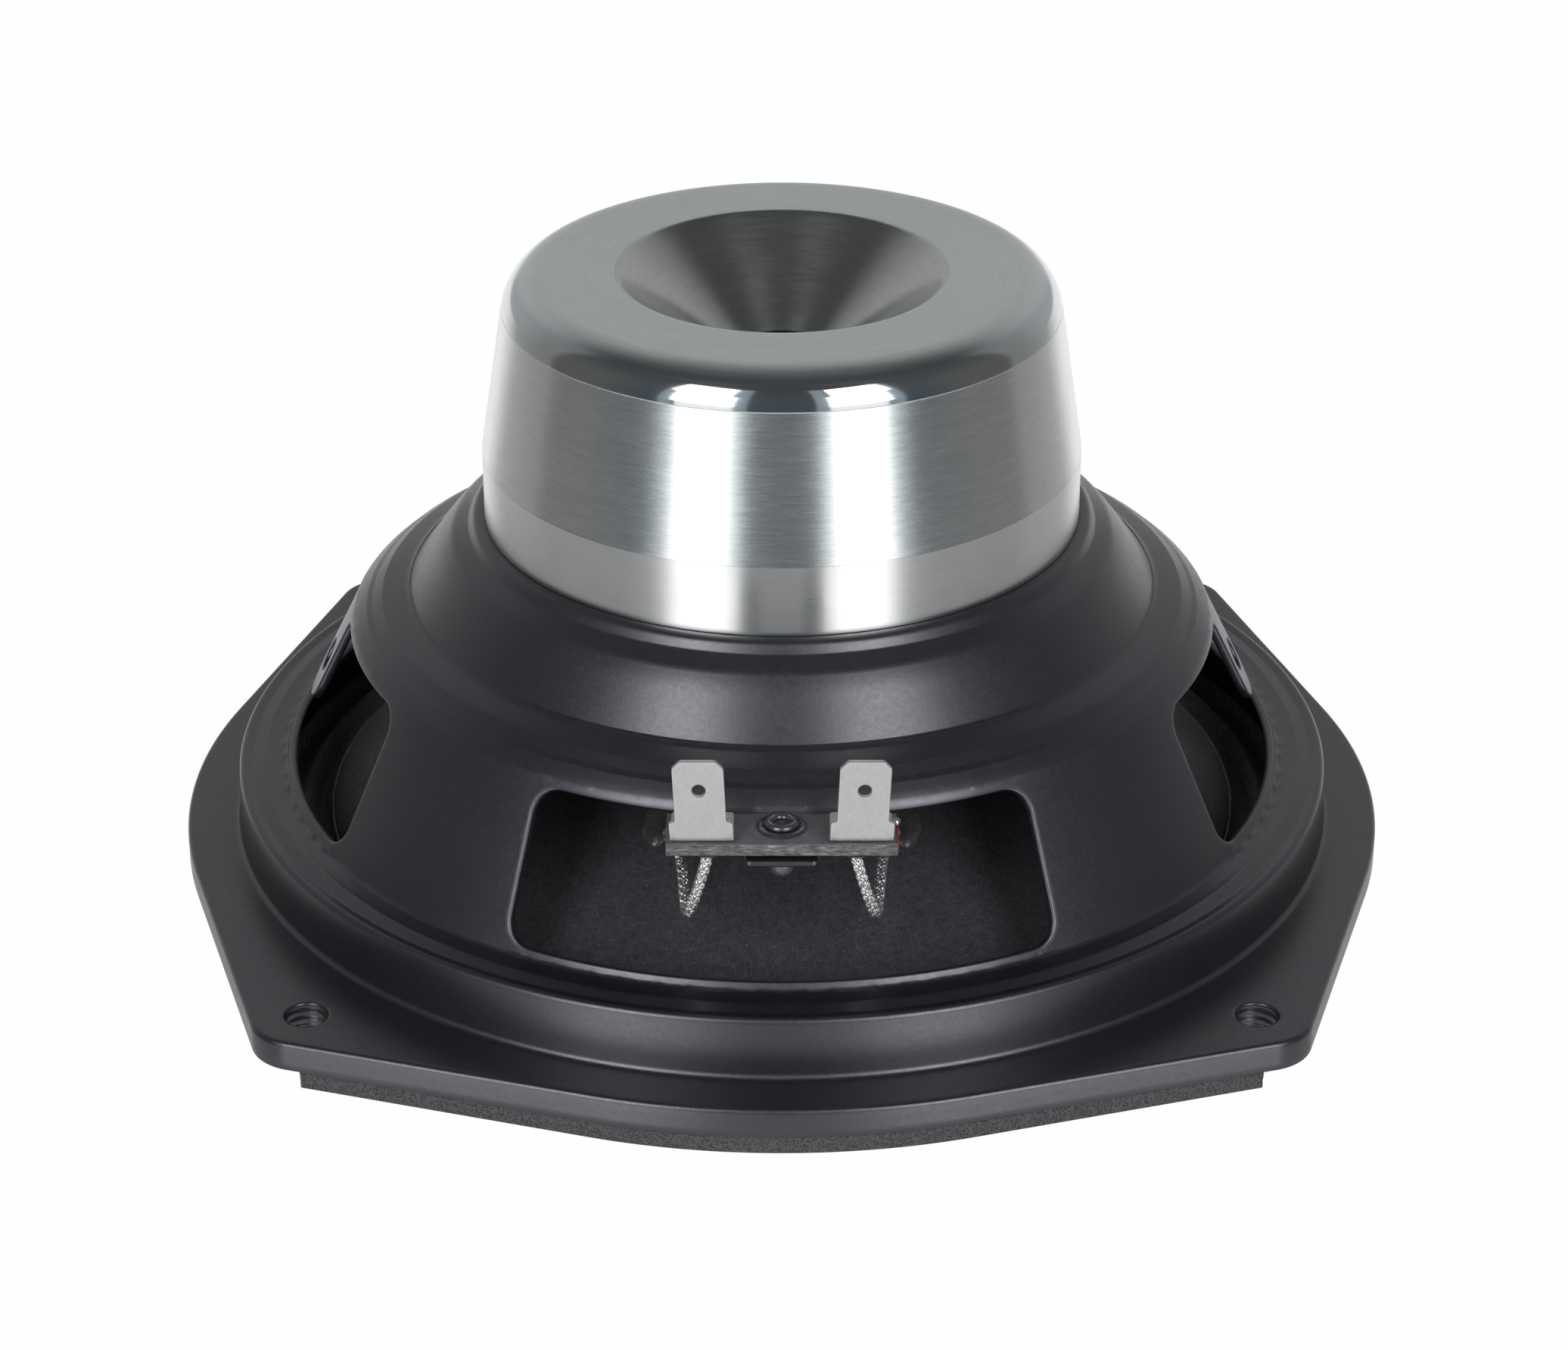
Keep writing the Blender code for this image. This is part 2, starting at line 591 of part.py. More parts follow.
BLACK = material("satin_black_paint", (0.016, 0.017, 0.020), 0.42, 0.0)
FOAM = material("grey_foam", (0.055, 0.056, 0.058), 0.95, 0.0)
FIBRE = material("fibre_board", (0.05, 0.048, 0.045), 0.9, 0.0)
STEEL = material("turned_steel", (0.42, 0.43, 0.42), 0.28, 1.0)
PLATE_STEEL = material("plated_steel", (0.46, 0.46, 0.45), 0.32, 1.0)
NICKEL = material("nickel", (0.55, 0.53, 0.48), 0.25, 1.0)
ALUMINIUM = material("aluminium", (0.70, 0.70, 0.71), 0.35, 1.0)
ZINC = material("zinc", (0.48, 0.48, 0.47), 0.4, 1.0)
PAPER = material("black_paper", (0.028, 0.028, 0.032), 0.95, 0.0)
CAP_PAPER = material("cap_paper", (0.022, 0.022, 0.025), 0.9, 0.0)
KAPTON = material("coil_former", (0.30, 0.13, 0.035), 0.4, 0.0)
WIRE = material("coil_wire", (0.45, 0.20, 0.10), 0.35, 1.0)
CLOTH = material("treated_cloth", (0.022, 0.022, 0.024), 0.7, 0.0)
PHENOLIC = material("phenolic_cloth", (0.25, 0.17, 0.08), 0.85, 0.0)
GLUE = material("black_glue", (0.010, 0.010, 0.011), 0.15, 0.0)
BOARD = material("laminate", (0.045, 0.045, 0.047), 0.6, 0.0)
TIN = material("tinned_brass", (0.60, 0.60, 0.60), 0.4, 1.0)
BLACK_ZINC = material("black_eyelet", (0.02, 0.02, 0.022), 0.35, 0.8)
BRAID = material("silver_braid", (0.62, 0.62, 0.62), 0.4, 1.0)

make_basket(BLACK)
for gasket_name, gasket_turn, gasket_inset in (
        ("gasket_front", 0.0, 0.25), ("gasket_right", 90.0, 0.9),
        ("gasket_back", 180.0, 0.9), ("gasket_left", 270.0, 0.9)):
    make_gasket(gasket_name, gasket_turn, gasket_inset, FOAM)
turned("clamp_ring", [(CLAMP_R[1], CLAMP_Z[1]), (CLAMP_R[1], CLAMP_Z[0]),
                      (CLAMP_R[0], CLAMP_Z[0]), (CLAMP_R[0], CLAMP_Z[1])], FIBRE)
make_motor(STEEL, PLATE_STEEL, NICKEL, ALUMINIUM, ZINC)
make_moving(PAPER, CAP_PAPER, KAPTON, WIRE, CLOTH, PHENOLIC, GLUE)
make_terminals(BOARD, TIN, BLACK_ZINC, BRAID)
bpy.context.view_layer.update()
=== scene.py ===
"""Looks of the vented 170 mm woofer driver: finishes, pressed sheet, foam, cloth
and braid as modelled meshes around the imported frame. Millimetres in the code,
metres in the scene."""
import math
import random

import bmesh
import bpy
import numpy as np
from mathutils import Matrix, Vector, geometry, noise


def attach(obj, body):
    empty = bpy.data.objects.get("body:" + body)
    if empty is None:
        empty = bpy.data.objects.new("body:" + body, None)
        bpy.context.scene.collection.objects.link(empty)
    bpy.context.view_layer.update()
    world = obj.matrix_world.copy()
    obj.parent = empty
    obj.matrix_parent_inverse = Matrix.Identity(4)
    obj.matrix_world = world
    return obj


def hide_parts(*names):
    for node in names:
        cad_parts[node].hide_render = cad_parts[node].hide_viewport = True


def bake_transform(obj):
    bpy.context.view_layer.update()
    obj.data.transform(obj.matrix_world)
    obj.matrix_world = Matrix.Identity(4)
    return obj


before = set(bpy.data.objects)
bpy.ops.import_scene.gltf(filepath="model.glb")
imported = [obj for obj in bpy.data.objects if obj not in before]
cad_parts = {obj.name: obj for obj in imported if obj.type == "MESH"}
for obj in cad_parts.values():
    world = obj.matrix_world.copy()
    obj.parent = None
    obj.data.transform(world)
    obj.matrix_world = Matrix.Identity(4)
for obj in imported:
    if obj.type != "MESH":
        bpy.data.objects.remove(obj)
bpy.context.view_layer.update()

S = 0.001
TAU = 2.0 * math.pi
RNG = random.Random(7)


# ------------------------------------------------------------- small helpers
def smoothstep(a, b, x):
    t = min(1.0, max(0.0, (x - a) / (b - a)))
    return t * t * (3.0 - 2.0 * t)


def lerp(a, b, t):
    return a + (b - a) * t


def polar(r, a, z):
    return (r * math.cos(a), r * math.sin(a), z)


def wobble(p, scale, seed=0.0):
    """Smooth noise in -1..1 at a point in millimetres."""
    return noise.noise(Vector((p[0] * scale + seed, p[1] * scale - seed, p[2] * scale + 0.37 * seed)))


class Build:
    """Collects points and faces of one piece, in millimetres."""

    def __init__(self):
        self.v, self.f, self.m = [], [], []

    def pts(self, points):
        start = len(self.v)
        self.v.extend(points)
        return start

    def face(self, idx, mi=0):
        self.f.append(tuple(idx))
        self.m.append(mi)

    def grid(self, rows, wrap_cols=False, wrap_rows=False, mi=0):
        n, count = len(rows[0]), len(rows)
        o = self.pts([p for row in rows for p in row])
        for i in range(count if wrap_rows else count - 1):
            a, b = o + i * n, o + ((i + 1) % count) * n
            index = mi[i] if isinstance(mi, (list, tuple)) else mi
            for j in range(n if wrap_cols else n - 1):
                k = (j + 1) % n
                self.face((a + j, a + k, b + k, b + j), index)
        return o

    def fan(self, ring, centre, mi=0):
        o = self.pts(list(ring) + [centre])
        n = len(ring)
        for j in range(n):
            self.face((o + j, o + (j + 1) % n, o + n), mi)

    def lathe(self, profile, n=192, closed=True, mi=0, at=(0.0, 0.0), turn=None):
        rows = []
        for r, z in profile:
            row = []
            for j in range(n):
                a = TAU * j / n
                p = (at[0] + r * math.cos(a), at[1] + r * math.sin(a), z)
                row.append(turn(p, r, a) if turn else p)
            rows.append(row)
        return self.grid(rows, wrap_cols=True, wrap_rows=closed, mi=mi)

    def object(self, name, mats, angle=40.0, weld=2e-6):
        mesh = bpy.data.meshes.new(name)
        mesh.from_pydata([(x * S, y * S, z * S) for x, y, z in self.v], [], self.f)
        for mat in mats:
            mesh.materials.append(mat)
        mesh.polygons.foreach_set("material_index", self.m)
        bm = bmesh.new()
        bm.from_mesh(mesh)
        bmesh.ops.remove_doubles(bm, verts=bm.verts, dist=weld)
        bmesh.ops.dissolve_degenerate(bm, edges=bm.edges, dist=1e-7)
        loose = [v for v in bm.verts if not v.link_faces]
        bmesh.ops.delete(bm, geom=loose, context="VERTS")
        bmesh.ops.recalc_face_normals(bm, faces=bm.faces)
        bm.to_mesh(mesh)
        bm.free()
        mesh.shade_smooth()
        mesh.set_sharp_from_angle(angle=math.radians(angle))
        obj = bpy.data.objects.new(name, mesh)
        bpy.context.scene.collection.objects.link(obj)
        return obj


def piece(build, name, mats, body, replaces=(), angle=40.0, weld=2e-6):
    obj = build.object(name, mats if isinstance(mats, (list, tuple)) else [mats], angle, weld)
    if body:
        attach(obj, body)
    if replaces:
        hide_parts(*([replaces] if isinstance(replaces, str) else replaces))
    return obj


# --------------------------------------------------------- curves and sections
def fillet(corners, step=0.4, run=2.0):
    """Polyline through (x, y, radius) corners with arcs at the corners; straight
    runs are cut to at most `run`."""
    out = [tuple(corners[0][:2])]

    def line_to(q):
        p = out[-1]
        d = math.hypot(q[0] - p[0], q[1] - p[1])
        if d < 1e-6:
            return
        n = max(1, int(math.ceil(d / run)))
        for i in range(1, n + 1):
            out.append((lerp(p[0], q[0], i / n), lerp(p[1], q[1], i / n)))

    for k in range(1, len(corners) - 1):
        (px, py), (cx, cy, rad), (nx, ny) = corners[k - 1][:2], corners[k], corners[k + 1][:2]
        ux, uy, vx, vy = px - cx, py - cy, nx - cx, ny - cy
        lu, lv = math.hypot(ux, uy), math.hypot(vx, vy)
        ux, uy, vx, vy = ux / lu, uy / lu, vx / lv, vy / lv
        cos_a = max(-1.0, min(1.0, ux * vx + uy * vy))
        half = 0.5 * math.acos(cos_a)
        if rad <= 0.0 or math.pi / 2 - half < 0.01:
            line_to((cx, cy))
            continue
        tang = min(rad / math.tan(half), 0.49 * lu if k > 1 else lu, 0.49 * lv if k < len(corners) - 2 else lv)
        rad = tang * math.tan(half)
        line_to((cx + ux * tang, cy + uy * tang))
        bx, by = ux + vx, uy + vy
        bl = math.hypot(bx, by)
        ox, oy = cx + bx / bl * rad / math.sin(half), cy + by / bl * rad / math.sin(half)
        a0 = math.atan2(cy + uy * tang - oy, cx + ux * tang - ox)
        a1 = math.atan2(cy + vy * tang - oy, cx + vx * tang - ox)
        turn = (a1 - a0 + math.pi) % TAU - math.pi
        n = max(3, int(math.ceil(abs(turn) * rad / step)))
        for i in range(1, n + 1):
            a = a0 + turn * i / n
            out.append((ox + rad * math.cos(a), oy + rad * math.sin(a)))
    line_to(tuple(corners[-1][:2]))
    return out


def closed_fillet(corners, step=0.5, run=1.3):
    """Closed loop through (x, y, radius) corners."""
    n = len(corners)
    mid = (0.5 * (corners[0][0] + corners[-1][0]), 0.5 * (corners[0][1] + corners[-1][1]))
    loop = fillet([mid + (0.0,)] + list(corners) + [mid + (0.0,)], step, run)
    return loop[:-1]


def loop_normals(loop):
    """Unit normals that point out of a counter-clockwise loop, with a mitre."""
    n, out = len(loop), []
    for i in range(n):
        (ax, ay), (bx, by), (cx, cy) = loop[i - 1], loop[i], loop[(i + 1) % n]
        ux, uy, vx, vy = bx - ax, by - ay, cx - bx, cy - by
        lu, lv = math.hypot(ux, uy) or 1.0, math.hypot(vx, vy) or 1.0
        n1, n2 = (uy / lu, -ux / lu), (vy / lv, -vx / lv)
        mx, my = n1[0] + n2[0], n1[1] + n2[1]
        ml = math.hypot(mx, my) or 1.0
        mx, my = mx / ml, my / ml
        mitre = min(1.6, 1.0 / max(0.3, mx * n1[0] + my * n1[1]))
        out.append((mx * mitre, my * mitre))
    return out


def inside(loop, x, y):
    hit = False
    j = len(loop) - 1
    for i in range(len(loop)):
        xi, yi = loop[i]
        xj, yj = loop[j]
        if (yi > y) != (yj > y) and x < (xj - xi) * (y - yi) / (yj - yi) + xi:
            hit = not hit
        j = i
    return hit


def near(loop, x, y, d):
    d2 = d * d
    return any((px - x) ** 2 + (py - y) ** 2 < d2 for px, py in loop)


def triangulate(outer, holes, extra):
    """Triangles between an outer loop and its holes. Whole regions bounded by the
    loops are kept or dropped, by the place of their largest triangle."""
    verts, edges = [], []
    for loop in [outer] + holes:
        o = len(verts)
        verts += [Vector(p) for p in loop]
        edges += [(o + i, o + (i + 1) % len(loop)) for i in range(len(loop))]
    verts += [Vector(p) for p in extra]
    co, lines, tris, _, from_edges, _ = geometry.delaunay_2d_cdt(verts, edges, [], 0, 1e-5)
    fixed = {tuple(sorted(e)) for e, source in zip(lines, from_edges) if source}
    sides = {}
    for k, t in enumerate(tris):
        for i in range(len(t)):
            sides.setdefault(tuple(sorted((t[i], t[(i + 1) % len(t)]))), []).append(k)

    def area_of(t):
        a, b, c = co[t[0]], co[t[1]], co[t[2]]
        return abs((b.x - a.x) * (c.y - a.y) - (c.x - a.x) * (b.y - a.y))

    seen, keep = set(), []
    for k in range(len(tris)):
        if k in seen:
            continue
        seen.add(k)
        region, queue = [], [k]
        while queue:
            q = queue.pop()
            region.append(q)
            t = tris[q]
            for i in range(len(t)):
                e = tuple(sorted((t[i], t[(i + 1) % len(t)])))
                if e in fixed:
                    continue
                for other in sides[e]:
                    if other not in seen:
                        seen.add(other)
                        queue.append(other)
        big = tris[max(region, key=lambda q: area_of(tris[q]))]
        if area_of(big) < 1e-3:
            continue
        x, y = sum(co[i].x for i in big) / 3.0, sum(co[i].y for i in big) / 3.0
        if inside(outer, x, y) and not any(inside(h, x, y) for h in holes):
            keep += [tuple(tris[q]) for q in region]
    return [(c.x, c.y) for c in co], keep


# section of a cut sheet edge: (distance into the sheet, sink, rounding)
EDGE = [(0.85, 0.0, 0.0), (0.36, 0.0, 0.0), (0.18, 0.0, 0.048), (0.048, 0.0, 0.18), (0.0, 0.0, 0.36)]


def sheet(build, outer, holes, extra, place, t, edge_outer=None, edge_holes=None, mi=0, mi_edge=None, mi_under=None):
    """A sheet of thickness t. `place(u, v, h)` puts a flat point, h above the
    sheet's outer face, in space. Loops run counter-clockwise. Each loop's edge is
    a rounded strip; an outer loop with no section is left open for a neighbour."""
    mi_edge = mi if mi_edge is None else mi_edge
    trimmed = []
    for loop, sec, sign in ([(outer, edge_outer, -1.0)]
                            + [(h, edge_holes or (lambda u, v: EDGE), 1.0) for h in holes]):
        if sec is None:
            trimmed.append(loop)
            continue
        norm = loop_normals(loop)
        secs = [sec(u, v) for u, v in loop]
        count = len(secs[0])
        rows = []
        for k in range(count):
            rows.append([(u + sign * nx * s[k][0], v + sign * ny * s[k][0], s[k][1] - s[k][2])
                         for (u, v), (nx, ny), s in zip(loop, norm, secs)])
        for k in reversed(range(count)):
            rows.append([(u + sign * nx * s[k][0], v + sign * ny * s[k][0], s[k][1] - t + s[k][2])
                         for (u, v), (nx, ny), s in zip(loop, norm, secs)])
        build.grid([[place(*p) for p in row] for row in rows], wrap_cols=True, mi=mi_edge)
        trimmed.append([(p[0], p[1]) for p in rows[0]])
    co, tris = triangulate(trimmed[0], trimmed[1:], extra)
    for h in (0.0, -t):
        o = build.pts([place(u, v, h) for u, v in co])
        for tri in tris:
            build.face([o + i for i in (tri if h == 0.0 else reversed(tri))], mi if h == 0.0 or mi_under is None else mi_under)


def catmull(points, per_span):
    pts = [Vector(p) for p in points]
    ext = [2 * pts[0] - pts[1]] + pts + [2 * pts[-1] - pts[-2]]
    out = []
    for i in range(1, len(ext) - 2):
        p0, p1, p2, p3 = ext[i - 1:i + 3]
        for k in range(per_span):
            t = k / per_span
            out.append(0.5 * ((2 * p1) + (p2 - p0) * t + (2 * p0 - 5 * p1 + 4 * p2 - p3) * t * t
                              + (3 * p1 - p0 - 3 * p2 + p3) * t ** 3))
    out.append(pts[-1])
    return out


def transport(path):
    """Points with two cross directions carried along without twist."""
    out = []
    side = None
    for i, p in enumerate(path):
        t = (path[min(i + 1, len(path) - 1)] - path[max(i - 1, 0)]).normalized()
        if side is None:
            side = t.orthogonal().normalized()
        side = (side - t * side.dot(t)).normalized()
        out.append((p, side, t.cross(side)))
    return out


def tube(build, path, radius, sides=8, mi=0, cap=True):
    rows = []
    frames = transport(path)
    for i, (p, a, b) in enumerate(frames):
        rad = radius(i / (len(path) - 1)) if callable(radius) else radius
        rows.append([tuple(p + a * (rad * math.cos(TAU * k / sides)) + b * (rad * math.sin(TAU * k / sides)))
                     for k in range(sides)])
    build.grid(rows, wrap_cols=True, mi=mi)
    if cap:
        build.fan(rows[0], tuple(path[0]), mi)
        build.fan(rows[-1], tuple(path[-1]), mi)


# ------------------------------------------------------------------ materials
def new_material(name):
    mat = bpy.data.materials.new(name)
    mat.use_nodes = True
    return mat, mat.node_tree, mat.node_tree.nodes["Principled BSDF"]


def node(tree, kind, inputs=None, **props):
    n = tree.nodes.new(kind)
    for key, value in props.items():
        setattr(n, key, value)
    for key, value in (inputs or {}).items():
        if isinstance(value, bpy.types.NodeSocket):
            tree.links.new(value, n.inputs[key])
        else:
            n.inputs[key].default_value = value
    return n


def coords(tree, scale=(1.0, 1.0, 1.0), rotation=(0.0, 0.0, 0.0)):
    tex = node(tree, "ShaderNodeTexCoord")
    m = node(tree, "ShaderNodeMapping", {"Vector": tex.outputs["Object"], "Scale": scale,
                                         "Rotation": rotation})
    return m.outputs["Vector"]


def noise_tex(tree, vector, scale, detail=3.0, rough=0.55, distort=0.0):
    n = node(tree, "ShaderNodeTexNoise", {"Vector": vector, "Scale": scale, "Detail": detail,
                                          "Roughness": rough, "Distortion": distort})
    return n.outputs["Fac"]


def voronoi(tree, vector, scale, feature="F1", random_=1.0):
    n = node(tree, "ShaderNodeTexVoronoi", {"Vector": vector, "Scale": scale, "Randomness": random_},
             feature=feature)
    return n.outputs["Distance"]


def remap(tree, value, a, b, c, d):
    n = node(tree, "ShaderNodeMapRange", {"Value": value, "From Min": a, "From Max": b,
                                          "To Min": c, "To Max": d})
    return n.outputs["Result"]


def maths(tree, op, a, b=0.0):
    n = node(tree, "ShaderNodeMath", {0: a, 1: b}, operation=op)
    return n.outputs[0]


def mix_rgb(tree, fac, a, b, mode="MIX"):
    n = node(tree, "ShaderNodeMix", data_type="RGBA", blend_type=mode)
    for key, value in ((0, fac), (6, a), (7, b)):
        if isinstance(value, bpy.types.NodeSocket):
            tree.links.new(value, n.inputs[key])
        else:
            n.inputs[key].default_value = value if key == 0 else (*value, 1.0)
    return n.outputs[2]


def bump(tree, height, distance, strength=1.0, normal=None):
    n = node(tree, "ShaderNodeBump", {"Height": height, "Distance": distance, "Strength": strength})
    if normal is not None:
        tree.links.new(normal, n.inputs["Normal"])
    return n.outputs["Normal"]


def put(tree, bsdf, **links):
    names = {"color": "Base Color", "rough": "Roughness", "normal": "Normal", "metal": "Metallic",
             "tangent": "Tangent"}
    for key, socket in links.items():
        tree.links.new(socket, bsdf.inputs[names[key]])


def radius_coord(tree):
    """Distance from the Z axis, in metres."""
    tex = node(tree, "ShaderNodeTexCoord")
    flat = node(tree, "ShaderNodeVectorMath", {0: tex.outputs["Object"], 1: (1.0, 1.0, 0.0)},
                operation="MULTIPLY")
    return node(tree, "ShaderNodeVectorMath", {0: flat.outputs[0]}, operation="LENGTH").outputs["Value"]


def paint_material(name="satin_black_paint"):
    mat, t, b = new_material(name)
    co = coords(t)
    broad = noise_tex(t, co, 55.0, 3.0)
    fine = noise_tex(t, co, 1600.0, 2.0, 0.6)
    grain = noise_tex(t, co, 4600.0, 1.0, 0.5)
    tint = mix_rgb(t, remap(t, broad, 0.3, 0.7, 0.0, 1.0), (0.0090, 0.0089, 0.0113), (0.0107, 0.0106, 0.0133))
    tint = mix_rgb(t, remap(t, grain, 0.56, 0.74, 0.0, 0.5), tint, (0.022, 0.022, 0.026))
    rough = maths(t, "ADD", remap(t, broad, 0.3, 0.7, 0.32, 0.35), remap(t, fine, 0.3, 0.7, -0.03, 0.04))
    height = maths(t, "ADD", maths(t, "MULTIPLY", fine, 0.7), maths(t, "MULTIPLY", grain, 0.35))
    put(t, b, color=tint, rough=rough, normal=bump(t, height, 0.000015))
    b.inputs["Specular IOR Level"].default_value = 1.0
    b.inputs["IOR"].default_value = 1.6
    b.inputs["Specular Tint"].default_value = (0.91, 0.915, 1.0, 1.0)
    return mat


def turned_material(name, kind, colour, rough, aniso, line=1.0, grade=None):
    """Turned metal. kind says which way the tool marks are spread: 'side' marks
    change with height, 'face' marks change with radius."""
    mat, t, b = new_material(name)
    b.inputs["Metallic"].default_value = 1.0
    b.inputs["Anisotropic"].default_value = aniso
    b.inputs["Anisotropic Rotation"].default_value = 0.25
    r = radius_coord(t)
    tex = node(t, "ShaderNodeTexCoord")
    sep = node(t, "ShaderNodeSeparateXYZ", {0: tex.outputs["Object"]})
    # marks run round the axis: quick change across them, slow change along them
    across = sep.outputs[2] if kind == "side" else r
    pair = []
    for k_r, k_a in ((9000.0, 330.0), (2600.0, 120.0)):
        v = node(t, "ShaderNodeCombineXYZ", {0: maths(t, "MULTIPLY", across, k_r),
                                             1: maths(t, "MULTIPLY", sep.outputs[0], k_a),
                                             2: maths(t, "MULTIPLY", sep.outputs[1], k_a)})
        pair.append(noise_tex(t, v.outputs[0], 1.0, 2.0, 0.6))
    fine, mid = pair
    blotch = noise_tex(t, coords(t), 160.0, 4.0, 0.6)
    marks = maths(t, "ADD", maths(t, "MULTIPLY", fine, 0.65), maths(t, "MULTIPLY", mid, 0.35))
    dark = tuple(c * (1.0 - 0.16 * line) for c in colour)
    light = tuple(min(1.0, c * (1.0 + 0.10 * line)) for c in colour)
    tone = mix_rgb(t, remap(t, marks, 0.34, 0.66, 0.0, 1.0), dark, light)
    tone = mix_rgb(t, remap(t, blotch, 0.35, 0.75, 0.0, 0.12), tone, tuple(c * 0.85 for c in colour))
    ro = maths(t, "ADD", remap(t, marks, 0.3, 0.7, rough - 0.04 * line, rough + 0.05 * line),
               remap(t, blotch, 0.35, 0.7, -0.01, 0.02))
    if grade:
        # from another finish below height z0 to this one above z1
        z0, z1, rough0, colour0 = grade
        f = remap(t, sep.outputs[2], z0 * S, z1 * S, 0.0, 1.0)
        tone = mix_rgb(t, f, colour0, tone)
        ro = maths(t, "ADD", maths(t, "MULTIPLY", ro, f), maths(t, "MULTIPLY", maths(t, "SUBTRACT", 1.0, f), rough0))
    put(t, b, color=tone, rough=ro, normal=bump(t, marks, 0.0000022 * line))
    if aniso > 0.0:
        tan = node(t, "ShaderNodeTangent", direction_type="RADIAL", axis="Z")
        put(t, b, tangent=tan.outputs[0])
    return mat


def foam_material():
    mat, t, b = new_material("grey_foam")
    co = coords(t)
    cells = voronoi(t, co, 3300.0)
    small = voronoi(t, co, 6800.0)
    broad = noise_tex(t, co, 300.0, 3.0)
    tone = mix_rgb(t, remap(t, cells, 0.18, 0.62, 0.0, 1.0), (0.032, 0.032, 0.033), (0.100, 0.101, 0.102))
    tone = mix_rgb(t, remap(t, small, 0.1, 0.5, 0.35, 0.0), tone, (0.020, 0.020, 0.021))
    tone = mix_rgb(t, remap(t, broad, 0.35, 0.7, 0.0, 0.35), tone, (0.090, 0.091, 0.092))
    height = maths(t, "ADD", cells, maths(t, "MULTIPLY", small, 0.5))
    put(t, b, color=tone, rough=remap(t, cells, 0.0, 0.6, 0.98, 0.82), normal=bump(t, height, 0.00016))
    b.inputs["Specular IOR Level"].default_value = 0.25
    return mat


def cone_plane(t):
    """Flat coordinates on the cone, in millimetres: round it and along it. The
    joint of the two ends lies at the back."""
    tex = node(t, "ShaderNodeTexCoord")
    sep = node(t, "ShaderNodeSeparateXYZ", {0: tex.outputs["Object"]})
    turn = maths(t, "ARCTAN2", sep.outputs[0], maths(t, "MULTIPLY", sep.outputs[1], -1.0))
    return maths(t, "MULTIPLY", turn, 48.0), maths(t, "MULTIPLY", radius_coord(t), 1180.0)


def fibre_mask(t, density=0.60, width=0.11, length=1.5, count=7):
    """Thin loose fibres lying in several directions on the cone."""
    u, v = cone_plane(t)
    total = None
    for k in range(count):
        a = math.pi * (k + 0.35) / count + 0.23 * (k % 3)
        x = maths(t, "ADD", maths(t, "MULTIPLY", u, math.cos(a)), maths(t, "MULTIPLY", v, math.sin(a)))
        y = maths(t, "ADD", maths(t, "MULTIPLY", u, -math.sin(a)), maths(t, "MULTIPLY", v, math.cos(a)))
        co = node(t, "ShaderNodeCombineXYZ", {0: maths(t, "MULTIPLY", x, 1.0 / length),
                                              1: maths(t, "MULTIPLY", y, 1.0 / width), 2: 3.7 * k})
        f = noise_tex(t, co.outputs[0], 1.0, 1.0, 0.5, 0.35)
        m = remap(t, f, density, density + 0.12, 0.0, 1.0)
        total = m if total is None else maths(t, "MAXIMUM", total, m)
    return total


def paper_material(name, dark, light, fibre, specks=True):
    mat, t, b = new_material(name)
    co = coords(t)
    pulp = noise_tex(t, co, 900.0, 5.0, 0.65)
    felt = noise_tex(t, co, 3600.0, 2.0, 0.6)
    tone = mix_rgb(t, remap(t, pulp, 0.3, 0.7, 0.0, 1.0), dark, light)
    tone = mix_rgb(t, maths(t, "MULTIPLY", fibre_mask(t), 0.34), tone, fibre)
    if specks:
        dots = remap(t, voronoi(t, co, 620.0), 0.04, 0.08, 0.5, 0.0)
        tone = mix_rgb(t, dots, tone, tuple(c * 1.6 for c in fibre))
    height = maths(t, "ADD", maths(t, "MULTIPLY", pulp, 0.7), maths(t, "MULTIPLY", felt, 0.4))
    put(t, b, color=tone, rough=remap(t, pulp, 0.3, 0.7, 0.82, 0.97), normal=bump(t, height, 0.00007))
    b.inputs["Specular IOR Level"].default_value = 0.3
    b.inputs["Sheen Weight"].default_value = 0.12
    b.inputs["Sheen Roughness"].default_value = 0.5
    return mat


def weave_material(name, dark, light, pitch, rough=0.7, sheen=0.15):
    """Plain weave on the cloth, threads along X and along Y."""
    mat, t, b = new_material(name)
    tex = node(t, "ShaderNodeTexCoord")
    sep = node(t, "ShaderNodeSeparateXYZ", {0: tex.outputs["Object"]})
    k = math.pi / (pitch * S)
    sx = maths(t, "SINE", maths(t, "MULTIPLY", sep.outputs[0], k))
    sy = maths(t, "SINE", maths(t, "MULTIPLY", sep.outputs[1], k))
    weave = maths(t, "ABSOLUTE", maths(t, "MULTIPLY", sx, sy))
    slub = noise_tex(t, coords(t), 700.0, 3.0)
    tone = mix_rgb(t, remap(t, weave, 0.0, 0.8, 0.0, 1.0), dark, light)
    tone = mix_rgb(t, remap(t, slub, 0.4, 0.75, 0.0, 0.4), tone, tuple(c * 0.6 for c in dark))
    height = maths(t, "ADD", weave, maths(t, "MULTIPLY", slub, 0.4))
    put(t, b, color=tone, rough=remap(t, slub, 0.3, 0.7, rough - 0.08, rough + 0.08),
        normal=bump(t, height, 0.00006))
    b.inputs["Sheen Weight"].default_value = sheen
    return mat


